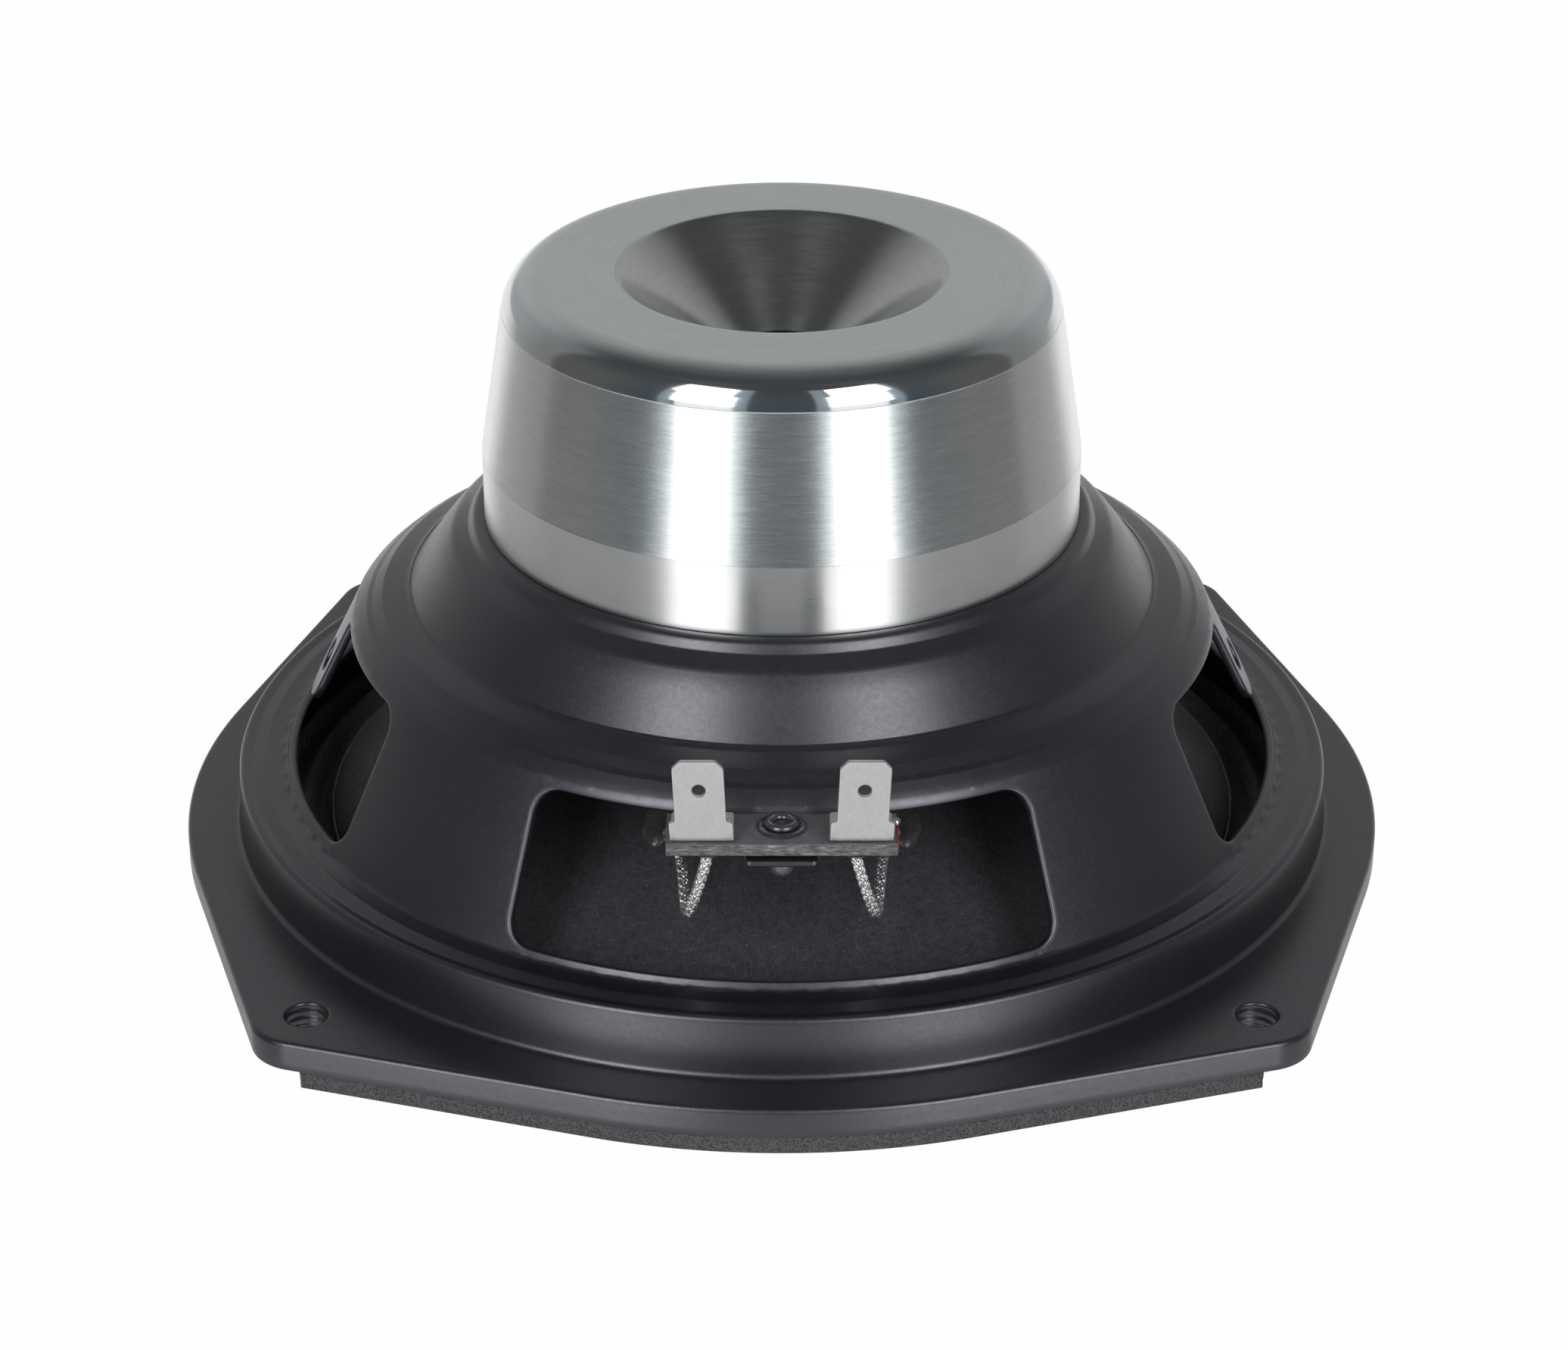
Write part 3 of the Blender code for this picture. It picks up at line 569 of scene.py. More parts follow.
def metal_material(name, colour, rough, scale=900.0, vary=0.12, bump_mm=0.006, metallic=1.0, spots=None):
    mat, t, b = new_material(name)
    co = coords(t)
    b.inputs["Metallic"].default_value = metallic
    broad = noise_tex(t, co, scale, 4.0, 0.6)
    fine = noise_tex(t, co, scale * 6.0, 2.0, 0.6)
    tone = mix_rgb(t, remap(t, broad, 0.3, 0.7, 0.0, 1.0), tuple(c * (1.0 - vary) for c in colour),
                   tuple(min(1.0, c * (1.0 + 0.6 * vary)) for c in colour))
    if spots:
        tone = mix_rgb(t, remap(t, noise_tex(t, co, scale * 1.7, 2.0), 0.58, 0.72, 0.0, 0.8), tone, spots)
    height = maths(t, "ADD", broad, maths(t, "MULTIPLY", fine, 0.5))
    put(t, b, color=tone, rough=remap(t, fine, 0.3, 0.7, rough - 0.06, rough + 0.08),
        normal=bump(t, height, bump_mm * S))
    return mat


def board_material():
    mat, t, b = new_material("fibre_laminate")
    long_ = noise_tex(t, coords(t, (900.0, 2600.0, 3000.0)), 1.0, 4.0, 0.7)
    ply = noise_tex(t, coords(t, (500.0, 900.0, 4200.0)), 1.0, 3.0, 0.65)
    mott = noise_tex(t, coords(t), 800.0, 4.0, 0.65)
    geo = node(t, "ShaderNodeNewGeometry")
    up = node(t, "ShaderNodeSeparateXYZ", {0: geo.outputs["Normal"]}).outputs[2]
    edge = remap(t, maths(t, "ABSOLUTE", up), 0.25, 0.75, 1.0, 0.0)
    top = mix_rgb(t, remap(t, mott, 0.3, 0.7, 0.0, 1.0), (0.085, 0.085, 0.095), (0.150, 0.149, 0.162))
    cut = mix_rgb(t, remap(t, long_, 0.36, 0.66, 0.0, 1.0), (0.045, 0.045, 0.045), (0.165, 0.165, 0.164))
    cut = mix_rgb(t, remap(t, ply, 0.56, 0.74, 0.0, 0.8), cut, (0.46, 0.46, 0.45))
    tone = mix_rgb(t, edge, top, cut)
    height = maths(t, "ADD", maths(t, "MULTIPLY", long_, edge), maths(t, "MULTIPLY", mott, 0.3))
    put(t, b, color=tone, rough=remap(t, mott, 0.3, 0.7, 0.55, 0.8), normal=bump(t, height, 0.00010))
    return mat


def glue_material():
    mat, t, b = new_material("black_glue")
    co = coords(t)
    lump = noise_tex(t, co, 420.0, 3.0)
    fine = noise_tex(t, co, 2500.0, 2.0)
    put(t, b, color=mix_rgb(t, remap(t, lump, 0.3, 0.7, 0.0, 1.0), (0.040, 0.040, 0.041), (0.080, 0.080, 0.082)),
        rough=remap(t, fine, 0.3, 0.7, 0.16, 0.34), normal=bump(t, maths(t, "ADD", lump, maths(t, "MULTIPLY", fine, 0.25)), 0.00022))
    return mat


def film_material():
    mat, t, b = new_material("amber_film")
    co = coords(t)
    ripple = noise_tex(t, coords(t, (90.0, 90.0, 900.0)), 1.0, 3.0)
    put(t, b, color=mix_rgb(t, ripple, (0.20, 0.075, 0.018), (0.38, 0.17, 0.045)),
        rough=remap(t, noise_tex(t, co, 600.0), 0.3, 0.7, 0.25, 0.42), normal=bump(t, ripple, 0.00002))
    b.inputs["Coat Weight"].default_value = 0.3
    return mat


def wire_material():
    mat, t, b = new_material("copper_winding_painted_turn_shade")
    b.inputs["Metallic"].default_value = 0.9
    tex = node(t, "ShaderNodeTexCoord")
    z = node(t, "ShaderNodeSeparateXYZ", {0: tex.outputs["Object"]}).outputs[2]
    # painted shade and highlight: each turn's colour runs dark in the groove between turns and light on its crown
    turn = maths(t, "ABSOLUTE", maths(t, "SINE", maths(t, "MULTIPLY", z, math.pi / 0.00028)))
    put(t, b, color=mix_rgb(t, turn, (0.18, 0.055, 0.02), (0.55, 0.24, 0.11)),
        rough=remap(t, turn, 0.0, 1.0, 0.5, 0.28), normal=bump(t, turn, 0.00006))
    return mat


PAINT = paint_material()
INSIDE = metal_material("inside_coat", (0.060, 0.057, 0.066), 0.6, 900.0, 0.15, 0.01, 0.0)
FACE = turned_material("turned_rear_face", "face", (0.82, 0.865, 0.84), 0.50, 0.30, 0.45,
                       (82.5, 83.66, 0.14, (0.60, 0.63, 0.66)))
POLISH = turned_material("polished_fillet", "side", (0.64, 0.655, 0.665), 0.08, 0.0, 0.12)
SIDE = turned_material("brushed_side", "side", (0.77, 0.785, 0.775), 0.26, 0.82, 0.55)
BAND = turned_material("smooth_band", "side", (0.70, 0.705, 0.695), 0.29, 0.75, 0.4)
FLARE = turned_material("vent_flare", "side", (0.57, 0.583, 0.57), 0.22, 0.55, 0.5)
INNER = metal_material("machined_inside", (0.40, 0.41, 0.40), 0.42, 700.0)
FOAM = foam_material()
FIBRE = paper_material("pressed_fibre", (0.030, 0.028, 0.026), (0.062, 0.058, 0.053), (0.16, 0.15, 0.13))
PAPER = paper_material("black_paper", (0.021, 0.0200, 0.0245), (0.043, 0.0410, 0.0495), (0.135, 0.131, 0.149))
CAP_PAPER = paper_material("cap_paper", (0.010, 0.010, 0.012), (0.020, 0.020, 0.023), (0.07, 0.07, 0.075))
CLOTH = weave_material("treated_cloth", (0.070, 0.066, 0.078), (0.165, 0.157, 0.182), 0.42)
PHENOLIC = weave_material("phenolic_cloth", (0.045, 0.042, 0.050), (0.105, 0.099, 0.115), 0.5, 0.8)
GLUE = glue_material()
CEMENT = metal_material("edge_cement", (0.16, 0.16, 0.17), 0.5, 1200.0, 0.35, 0.05, 0.0)
BOARD = board_material()
TIN = metal_material("tinned_brass", (0.56, 0.56, 0.555), 0.55, 1500.0, 0.07, 0.006, 0.75)
SOLDER = metal_material("solder", (0.62, 0.62, 0.61), 0.30, 1300.0, 0.25, 0.05, spots=(0.12, 0.12, 0.12))
EYELET = metal_material("black_eyelet", (0.150, 0.150, 0.158), 0.27, 1500.0, 0.3, 0.01, 0.8)
# lighter copy of the eyelet finish for its rolled end: painted light standing in for light falling on the end
EYELET_END_LIT = metal_material("eyelet_end_painted_light", (0.20, 0.20, 0.21), 0.40, 1500.0, 0.3, 0.01, 0.6)
BRAID = metal_material("silver_braid", (0.94, 0.94, 0.925), 0.36, 2500.0, 0.25, 0.012)
# core of the lead, a real part; its near-black colour is painted shade in the gaps between the braid's strands
BRAID_CORE_GAP_SHADE = metal_material("braid_core_gap_shade", (0.06, 0.06, 0.06), 0.6, 2500.0, 0.3, 0.01)
RED = metal_material("red_mark", (0.32, 0.018, 0.014), 0.5, 1600.0, 0.3, 0.03, 0.0)
MAGNET = metal_material("nickel_plate", (0.55, 0.53, 0.48), 0.26, 500.0, 0.08, 0.003)
ALU = turned_material("turned_aluminium", "side", (0.72, 0.72, 0.73), 0.30, 0.4, 0.6)
ZINC = metal_material("zinc_plate", (0.50, 0.50, 0.49), 0.36, 1200.0, 0.15, 0.006)
PLATE = turned_material("plated_steel", "side", (0.50, 0.505, 0.50), 0.28, 0.5, 0.8)
FILM = film_material()
WIRE = wire_material()


# ------------------------------------------------------------- flange outline
FLANGE_R, EAR_RC, EAR_C = 82.25, 7.2, 60.104
FLANGE_TOP, LIP_BOTTOM, SHEET = 6.4, 2.44, 1.2
EAR_D = EAR_C * math.sqrt(2.0)
TAN_A = math.radians(45.0) - math.acos((FLANGE_R - EAR_RC) / EAR_D)


def outline_radius(theta, inset=0.0):
    big, small = FLANGE_R - inset, EAR_RC - inset
    a = abs((theta + math.pi / 4) % (math.pi / 2) - math.pi / 4)
    if a <= TAN_A:
        return big
    ear_a = math.atan2(EAR_C + small * math.sin(TAN_A), EAR_C + small * math.cos(TAN_A))
    if a >= ear_a:
        dot = EAR_C * (math.cos(a) + math.sin(a))
        return dot + math.sqrt(dot * dot - EAR_D ** 2 + small ** 2)
    return big / math.cos(a - TAN_A)


# --------------------------------------------------------------------- basket
COLS = 240                                   # columns round the basket
A_FOOT, A_WALL0, A_WALL1 = (77.6, 6.4), (70.6, 14.80), (52.6, 38.84)


def basket_profile():
    """(r, z) of the painted outside, from the flange's flat to the seat's hole,
    with the three zones' limits."""
    rim = fillet([A_FOOT + (0.0,), (75.08, 6.4, 0.8), (74.72, 14.86, 1.05), (72.95, 14.46, 0.7), (71.1, 14.88, 1.5),
                  A_WALL0 + (0.0,)], 0.15, 1.4)
    wall = fillet([A_WALL0 + (0.0,), (68.27, 14.77, 0.8), (58.2, 35.25, 1.6), (56.35, 36.85, 0.5), (55.6, 37.25, 0.4), (54.2, 38.32, 0.5),
                   (53.35, 38.6, 0.4), A_WALL1 + (0.0,)],
                  0.22, 1.8)
    top = fillet([A_WALL1 + (0.0,), (50.75, 39.42, 0.0), (50.52, 39.64, 0.12), (50.32, 39.58, 0.10), (50.10, 39.75, 0.20),
                  (46.0, 45.35, 25.0), (44.5, 47.0, 4.0), (42.2, 48.35, 0.8), (41.35, 49.93, 1.6), (40.15, 49.88, 0.0)], 0.10, 0.9)
    top += [(39.95, 49.80)] + [(r, 49.75) for r in (39.6, 37.0, 33.0, 29.0, 26.0, 24.6)]
    return rim, wall, top


def with_normals(line):
    """Profile points with their outward unit normals and length along."""
    out, run = [], 0.0
    for i, (r, z) in enumerate(line):
        p, q = line[max(i - 1, 0)], line[min(i + 1, len(line) - 1)]
        seg = []
        for a, b in ((p, (r, z)), ((r, z), q)):
            d = math.hypot(b[0] - a[0], b[1] - a[1])
            if d > 1e-9:
                seg.append(((b[1] - a[1]) / d, -(b[0] - a[0]) / d))
        nr, nz = sum(s[0] for s in seg), sum(s[1] for s in seg)
        nl = math.hypot(nr, nz)
        if i:
            run += math.hypot(r - line[i - 1][0], z - line[i - 1][1])
        out.append((run, r, z, nr / nl, nz / nl))
    return out


def build_basket():
    b = Build()
    rim, wall, top = basket_profile()
    whole = with_normals(rim + wall[1:] + top[1:])
    n_rim, n_wall = len(rim), len(wall)
    angles = [TAU * j / COLS for j in range(COLS)]

    def ring(entry, h):
        _, r, z, nr, nz = entry
        return [polar(r + nr * h, a, z + nz * h) for a in angles]

    # rim and steps: plain turned zones, both faces
    for part in (whole[:n_rim], whole[n_rim + n_wall - 2:]):
        for h in (0.0, -SHEET):
            b.grid([ring(e, h) for e in part], wrap_cols=True, mi=0 if h == 0.0 else 1)
    last = whole[-1]
    b.grid([ring(last, 0.0)]
           + [[polar(r, a, z) for a in angles] for r, z in
              ((24.3, 49.66), (24.2, 49.45), (24.2, 48.85), (24.3, 48.64))]
           + [ring(last, -SHEET)], wrap_cols=True)

    # conical wall with its windows
    zone = whole[n_rim - 1:n_rim + n_wall - 1]
    s_of = [e[0] for e in zone]

    def at(s):
        i = min(max(np.searchsorted(s_of, s) - 1, 0), len(zone) - 2)
        t = (s - s_of[i]) / (s_of[i + 1] - s_of[i])
        e = [lerp(zone[i][k], zone[i + 1][k], t) for k in range(1, 5)]
        nl = math.hypot(e[2], e[3])
        return e[0], e[1], e[2] / nl, e[3] / nl

    def s_at_z(z):
        for i in range(len(zone) - 1):
            if zone[i][2] <= z <= zone[i + 1][2] and zone[i][1] < 68.6:
                return lerp(s_of[i], s_of[i + 1], (z - zone[i][2]) / (zone[i + 1][2] - zone[i][2]))
        return s_of[-1]

    ref = 63.0
    s_bot, s_top = s_at_z(15.95), s_at_z(34.15)
    half, half_b = math.radians(31.4) * ref, math.radians(30.9) * ref
    quarter = math.radians(45.0) * ref
    cols = COLS // 4
    us = [quarter * (2.0 * j / cols - 1.0) for j in range(cols + 1)]

    for index, azimuth in enumerate((-90.0, 0.0, 90.0, 180.0)):
        centre = math.radians(azimuth)

        def place(u, s, h):
            r, z, nr, nz = at(s)
            return polar(r + nr * h, centre + u / ref, z + nz * h)

        corners = [(-half_b, s_bot, 3.4), (half_b, s_bot, 3.4), (half, s_top, 3.6)]
        holes = []
        if index:
            k = ref / 60.5
            w, tip = 4.4 * k, s_at_z(21.5)
            corners += [(w, s_top, 1.0), (w, tip, 4.2), (-w, tip, 4.2), (-w, s_top, 1.0)]
            hs, hr = s_at_z(27.2), 2.35
            holes.append([(hr * k * math.cos(TAU * i / 28), hs + hr * math.sin(TAU * i / 28)) for i in range(28)])
        corners += [(-half, s_top, 3.6)]
        window = closed_fillet(corners, 0.5, 1.2)

        outer = [(u, s_of[0]) for u in us] + [(quarter, s) for s in s_of[1:-1]]
        outer += [(u, s_of[-1]) for u in reversed(us)] + [(-quarter, s) for s in reversed(s_of[1:-1])]
        extra = []
        for s in s_of[1:-1]:
            for u in us[1:-1]:
                if inside(window, u, s):
                    ok = index and abs(u) < 3.6 * ref / 60.5 and s > s_at_z(21.5) + 1.0
                    if not ok:
                        continue
                if near(window, u, s, 1.3):
                    continue
                if holes and near(holes[0], u, s, 1.5):
                    continue
                if holes and inside(holes[0], u, s):
                    continue
                extra.append((u, s))
        sheet(b, outer, [window] + holes, extra, place, SHEET, mi_under=1)

    # flat of the flange with its four holes, and the turned-down lip
    out_angles = [TAU * j / 720 for j in range(720) if abs(j % 180 - 90) > 6]
    out_angles += [math.radians(90.0 * q + 42.0 + j / 8.0) for q in range(4) for j in range(49)]
    out_angles.sort()

    def outline(inset, z):
        return [polar(outline_radius(a, inset), a, z) for a in out_angles]

    lip = [(1.9, 6.4), (1.2, 6.4), (0.60, 6.4), (0.40, 6.366), (0.21, 6.26), (0.08, 6.09), (0.015, 5.92), (0.0, 5.75),
           (0.0, 4.7), (0.0, 3.6), (0.0, 2.64), (0.05, 2.51), (0.18, 2.44), (1.02, 2.44), (1.15, 2.51), (1.2, 2.64),
           (1.2, 4.85), (1.24, 5.04), (1.34, 5.15), (1.5, 5.2), (1.9, 5.2)]
    b.grid([outline(i, z) for i, z in lip], wrap_cols=True)
    outer = [p[:2] for p in outline(1.9, 0.0)]
    inner = [(A_FOOT[0] * math.cos(a), A_FOOT[0] * math.sin(a)) for a in angles]
    centres = []
    for i in range(4):
        a = math.radians(45.0 + 90.0 * i)
        centres.append((85.0 * math.cos(a), 85.0 * math.sin(a)))
    extra = []
    for i in range(-34, 35):
        for j in range(-34, 35):
            x, y = 2.7 * i, 2.7 * j
            r, a = math.hypot(x, y), math.atan2(y, x)
            if 78.9 < r < outline_radius(a, 3.2) and not any(
                    math.hypot(x - cx, y - cy) < 5.4 for cx, cy in centres):
                extra.append((x, y))

    # drawn collar round each hole, with the thread cut in it
    turns = [TAU * k / 48 for k in range(48)]
    for cx, cy in centres:
        rows = [(3.35, 6.4), (3.05, 6.4), (2.86, 6.36), (2.78, 6.27), (2.75, 6.15)]
        rows = [[(r, z)] * 48 for r, z in rows]
        for k in range(27):
            z = 6.02 - 0.11 * k
            fade = smoothstep(6.05, 5.75, z) * smoothstep(3.1, 3.4, z)
            rows.append([(2.75 + 0.08 * fade * (0.5 - 0.5 * math.cos(TAU * (z / 1.2 - a / TAU))), z) for a in turns])
        rows += [[(r, z)] * 48 for r, z in ((2.78, 3.04), (2.88, 2.95), (3.5, 2.95), (3.66, 3.02), (3.7, 3.15), (3.7, 4.9),
                                            (3.78, 5.1), (3.98, 5.2))]
        b.grid([[(cx + r * math.cos(a), cy + r * math.sin(a), z) for (r, z), a in zip(row, turns)] for row in rows],
               wrap_cols=True)
    for z, radius in ((FLANGE_TOP, 3.35), (FLANGE_TOP - SHEET, 3.98)):
        loops = [[(cx + radius * math.cos(a), cy + radius * math.sin(a)) for a in turns] for cx, cy in centres]
        co, tris = triangulate(outer, [inner] + loops, extra)
        o = b.pts([(u, v, z) for u, v in co])
        for tri in tris:
            b.face([o + i for i in (tri if z == FLANGE_TOP else reversed(tri))])

    obj = piece(b, "basket_shell", [PAINT, INSIDE], "frame", "basket", 38.0, 4e-6)

    # the front window's tongue, bent out flat to carry the terminal board
    t = Build()
    bend = fillet([(57.45, 35.1, 0.0), (58.2, 34.4, 0.3), (58.9, 33.02, 0.8), (66.2, 32.05, 0.0)], 0.2, 0.7)
    path = with_normals([(r, z) for r, z in bend])
    length = path[-1][0]
    ss = [e[0] for e in path]

    def on_tongue(x, s, h):
        i = min(max(int(np.searchsorted(ss, s)) - 1, 0), len(path) - 2)
        f = (s - ss[i]) / (ss[i + 1] - ss[i])
        r, z, nr, nz = [lerp(path[i][k], path[i + 1][k], f) for k in range(1, 5)]
        return (x, -(r - nr * h), z - nz * h)

    loop = closed_fillet([(-4.35, 0.0, 0.8), (4.35, 0.0, 0.8), (4.6, length, 0.8), (-4.6, length, 0.8)], 0.25, 0.7)
    s_hole = length - (66.2 - 62.2)
    hole = [(1.75 * math.cos(TAU * i / 24), s_hole + 1.75 * math.sin(TAU * i / 24)) for i in range(24)]
    fine = [(a, 0.0, e) for a, e in ((0.62, 0.0), (0.36, 0.0), (0.20, 0.06), (0.07, 0.17), (0.0, 0.36))]
    grid = [(x * 0.8, s) for x in range(-4, 5) for s in ss[1:-1]
            if abs(x * 0.8) < 3.3 and 1.1 < s < length - 1.1 and math.hypot(x * 0.8, s - s_hole) > 2.9]
    sheet(t, loop, [hole], grid, on_tongue, 0.92, lambda u, v: fine, lambda u, v: fine)
    tongue = piece(t, "front_tongue", PAINT, "frame", (), 38.0)
    return obj, tongue


build_basket()


# -------------------------------------------------------------------- gaskets
def build_gasket(name, turn, inset):
    b = Build()
    steps, a_out, a_in = 200, math.pi / 2 - math.atan2(67.25, 60.5), math.radians(43.0)
    rows = []
    for i in range(steps + 1):
        f = 2.0 * i / steps - 1.0
        ao, ai = -math.pi / 2 + a_out * f, -math.pi / 2 + a_in * f
        ro = outline_radius(ao, inset)
        outer = Vector((ro * math.cos(ao), ro * math.sin(ao)))
        inner = Vector((76.5 * math.cos(ai), 76.5 * math.sin(ai)))
        width = (outer - inner).length
        side = (outer - inner) / width
        # section, from the inner foot round to the outer foot
        sec = []
        for x, z in ((0.0, 0.18), (0.0, 0.8), (0.0, 1.6), (0.0, 2.25), (0.14, 2.39), (0.25 * width, 2.39),
                     (0.5 * width, 2.39), (0.75 * width, 2.39), (width - 0.12, 2.39), (width, 2.28), (width, 1.9),
                     (width, 1.5), (width, 1.1), (width, 0.7), (width, 0.3), (width - 0.16, 0.0),
                     (0.75 * width, 0.0), (0.5 * width, 0.0), (0.25 * width, 0.0), (0.16, 0.0)):
            p = inner + side * x
            sec.append((p.x, p.y, z, x > 0.6 * width))
        rows.append(sec)
    cut, sn = math.cos(math.radians(turn)), math.sin(math.radians(turn))

    def finish(p):
        x, y, z = p[0] * cut - p[1] * sn, p[0] * sn + p[1] * cut, p[2]
        if 0.0 < z < 2.39:
            r = math.hypot(x, y)
            d = 0.10 * wobble((x, y, z), 0.9, 3.0) + 0.06 * wobble((x, y, z), 2.6, 9.0) - 0.06
            if p[3]:
                x, y = x + x / r * d, y + y / r * d
            else:
                x, y = x - x / r * d, y - y / r * d
        return (x, y, z)

    rows = [[finish(p) for p in sec] for sec in rows]
    b.grid(rows, wrap_cols=True)
    for sec in (rows[0], rows[-1]):
        o = b.pts(sec)
        b.face([o + k for k in range(len(sec))])
    return piece(b, name + "_foam", FOAM, "frame", name, 50.0)


for gasket, turn, gasket_inset in (("gasket_front", 0.0, 0.25), ("gasket_right", 90.0, 0.9),
                                   ("gasket_back", 180.0, 0.9), ("gasket_left", 270.0, 0.9)):
    build_gasket(gasket, turn, gasket_inset)


# ---------------------------------------------------------------------- motor
def build_motor():
    lean = math.atan2(40.0 - 36.94, 79.03 - 59.43)
    prof, mats = [], []

    def run(points, mi):
        for p in points:
            if prof and math.hypot(prof[-1][0] - p[0], prof[-1][1] - p[1]) < 1e-6:
                continue
            prof.append(p)
            mats.append(mi)

    vent_z = 83.72 - (21.66 - 7.6) / math.tan(math.radians(50.0))
    # flat rear face, from the mouth's rounded edge outwards
    run([(22.35, 83.72)] + [(22.35 + (31.5 - 22.35) * i / 8, 83.72) for i in range(1, 9)], 0)
    # matt on the upper half of the rounding, polished below it
    for lo, hi, mi in ((90.0, 43.0, 0), (43.0, math.degrees(lean) + 1.2, 1), (math.degrees(lean) + 1.2, math.degrees(lean), 5)):
        run([(31.5 + 5.5 * math.cos(a), 78.22 + 5.5 * math.sin(a))
             for a in [math.radians(lerp(lo, hi, i / 16)) for i in range(1, 17)]], mi)
    top = (31.5 + 5.5 * math.cos(lean), 78.22 + 5.5 * math.sin(lean))
    run([(lerp(top[0], 39.995, i / 12), lerp(top[1], 59.44, i / 12)) for i in range(1, 13)], 2)
    run([(39.985, 59.43)], 2)
    run([(37.0, 59.43), (34.0, 59.43), (34.0, 71.8), (7.75, 71.8), (7.6, 71.86), (7.6, vent_z)], 4)
    flare = [(lerp(7.7, 21.45, i / 20), lerp(vent_z + 0.084, 83.47, i / 20)) for i in range(21)]
    run(flare, 3)
    run([(21.72, 83.63), (22.0, 83.70), (22.35, 83.72)][:2], 3)
    b = Build()
    # a face row takes the material of the point that it ends on
    b.lathe(prof, 256, True, mats[1:] + [mats[0]])
    piece(b, "motor_pot_body", [FACE, POLISH, SIDE, FLARE, INNER, TIN], "frame", "motor_pot", 32.0)

    p = Build()
    plate = [(39.985, 59.415), (40.0, 59.40), (40.0, 59.35)]
    plate += [(40.0, lerp(59.35, 50.0, i / 6)) for i in range(1, 7)]
    plate += [(40.0, 49.93), (39.97, 49.87), (36.0, 49.85), (30.0, 49.85), (23.5, 49.85), (23.2, 50.15),
              (23.2, 59.1), (23.5, 59.38), (30.0, 59.38), (36.0, 59.38)]
    p.lathe(plate, 256, True)
    piece(p, "front_plate_ring", BAND, "frame", "front_plate", 32.0)


build_motor()


# ------------------------------------------------------------ moving assembly
def cone_z(r):
    return 7.3 + (32.4 - 7.3) * (62.0 - r) / (62.0 - 22.6)


def build_moving():
    c = Build()
    rear = [(22.7, 33.0), (22.9, 33.05), (23.2, 32.75)]
    rear += [(r, cone_z(r)) for r in [23.4 + (60.6 - 23.4) * i / 26 for i in range(27)]]
    rear += [(61.3, cone_z(61.3) + 0.03), (61.8, 7.36), (62.0, 7.22), (62.02, 6.9), (61.95, 6.5), (61.7, 6.42)]
    front = [(r, cone_z(r) - 0.95) for r in [61.2 - (61.2 - 22.9) * i / 26 for i in range(27)]]
    front += [(22.62, 31.5), (22.6, 32.2)]
    c.lathe(rear + front, 224, True,
            turn=lambda p, r, a: (p[0], p[1], p[2] + 0.035 * wobble(p, 0.35, 2.0)))
    piece(c, "cone_paper", PAPER, "moving_assembly", "cone", 40.0)

    d = Build()
    big = (30.0 ** 2 + 8.0 ** 2) / 16.0
    low = [(30.0 * i / 24, 18.4 + big - math.sqrt(big * big - (30.0 * i / 24) ** 2)) for i in range(25)]
    loop = [(max(r, 0.02), z) for r, z in low[:-1]] + [(29.9, 25.92), (30.0, 26.1), (30.0, 26.4), (29.8, 26.5)]
    loop += [(max(r, 0.02), z + 0.6) for r, z in reversed(low[:-1])]
    d.lathe(loop, 160, True)
    piece(d, "dust_cap_paper", CAP_PAPER, "moving_assembly", "dust_cap", 40.0)

    # cement bead that joins the cone's edge to the cloth
    e = Build()
    ring = []
    for j in range(420):
        a = TAU * j / 420
        p = polar(62.25, a, 6.7)
        rad = 0.34 + 0.10 * wobble(p, 0.55, 5.0) + 0.06 * wobble(p, 1.7, 1.0)
        dr, dz = 0.10 * wobble(p, 0.4, 8.0), 0.12 * wobble(p, 0.5, 4.0)
        ring.append([polar(62.3 + dr + rad * 0.8 * math.cos(k), a, 6.62 + dz + rad * math.sin(k))
                     for k in [TAU * m / 8 for m in range(8)]])
    e.grid(ring, wrap_cols=True, wrap_rows=True)
    piece(e, "edge_cement", CEMENT, "moving_assembly", (), 60.0)

    # blobs of adhesive over the leads' ends
    slope = math.atan2(32.4 - 7.3, 62.0 - 22.6)
    for side, sign in (("left", -1.0), ("right", 1.0)):
        g = Build()
        x, y = sign * 15.8, -37.2
        r = math.hypot(x, y)
        axis = Vector((x / r * math.sin(slope), y / r * math.sin(slope), math.cos(slope)))
        base = Vector((x, y, cone_z(r)))
        out = Vector((x / r * math.cos(slope), y / r * math.cos(slope), -math.sin(slope)))
        across = axis.cross(out)
        rows = []
        for i in range(15):
            f = i / 14
            row = []
            for j in range(56):
                a = TAU * j / 56
                reach = 2.7 * (1.0 + 0.16 * math.cos(2 * a + 0.4 * sign) + 0.07 * math.cos(3 * a + 1.0)
                                + 0.05 * math.cos(5 * a + sign))
                rad = reach * math.sin(f * math.pi / 2)
                h = 0.98 * math.cos(f * math.pi / 2) ** 0.8 * (1.0 + 0.10 * wobble((a, f * 3, sign), 0.9, 2.0))
                row.append(tuple(base + out * (rad * math.cos(a) * 1.05) + across * (rad * math.sin(a)) + axis * (h - 0.06)))
            rows.append(row)
        rows.append([tuple(Vector(p) - axis * 0.35) for p in rows[-1]])
        g.grid(rows[1:], wrap_cols=True)
        g.fan(rows[1], rows[0][0])
        g.fan(rows[-1], tuple(base - axis * 0.4))
        piece(g, "lead_adhesive_" + side, GLUE, "moving_assembly", "lead_glue_" + side, 60.0)


build_moving()


def radial_blend(obj):
    """Bakes the piece's placement into its mesh and works out each point's distance from the axis; no point is moved.
    """
    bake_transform(obj)
    co = np.empty(len(obj.data.vertices) * 3, np.float32)
    obj.data.vertices.foreach_get("co", co)
    co = co.reshape(-1, 3)
    r = np.hypot(co[:, 0], co[:, 1]) / S


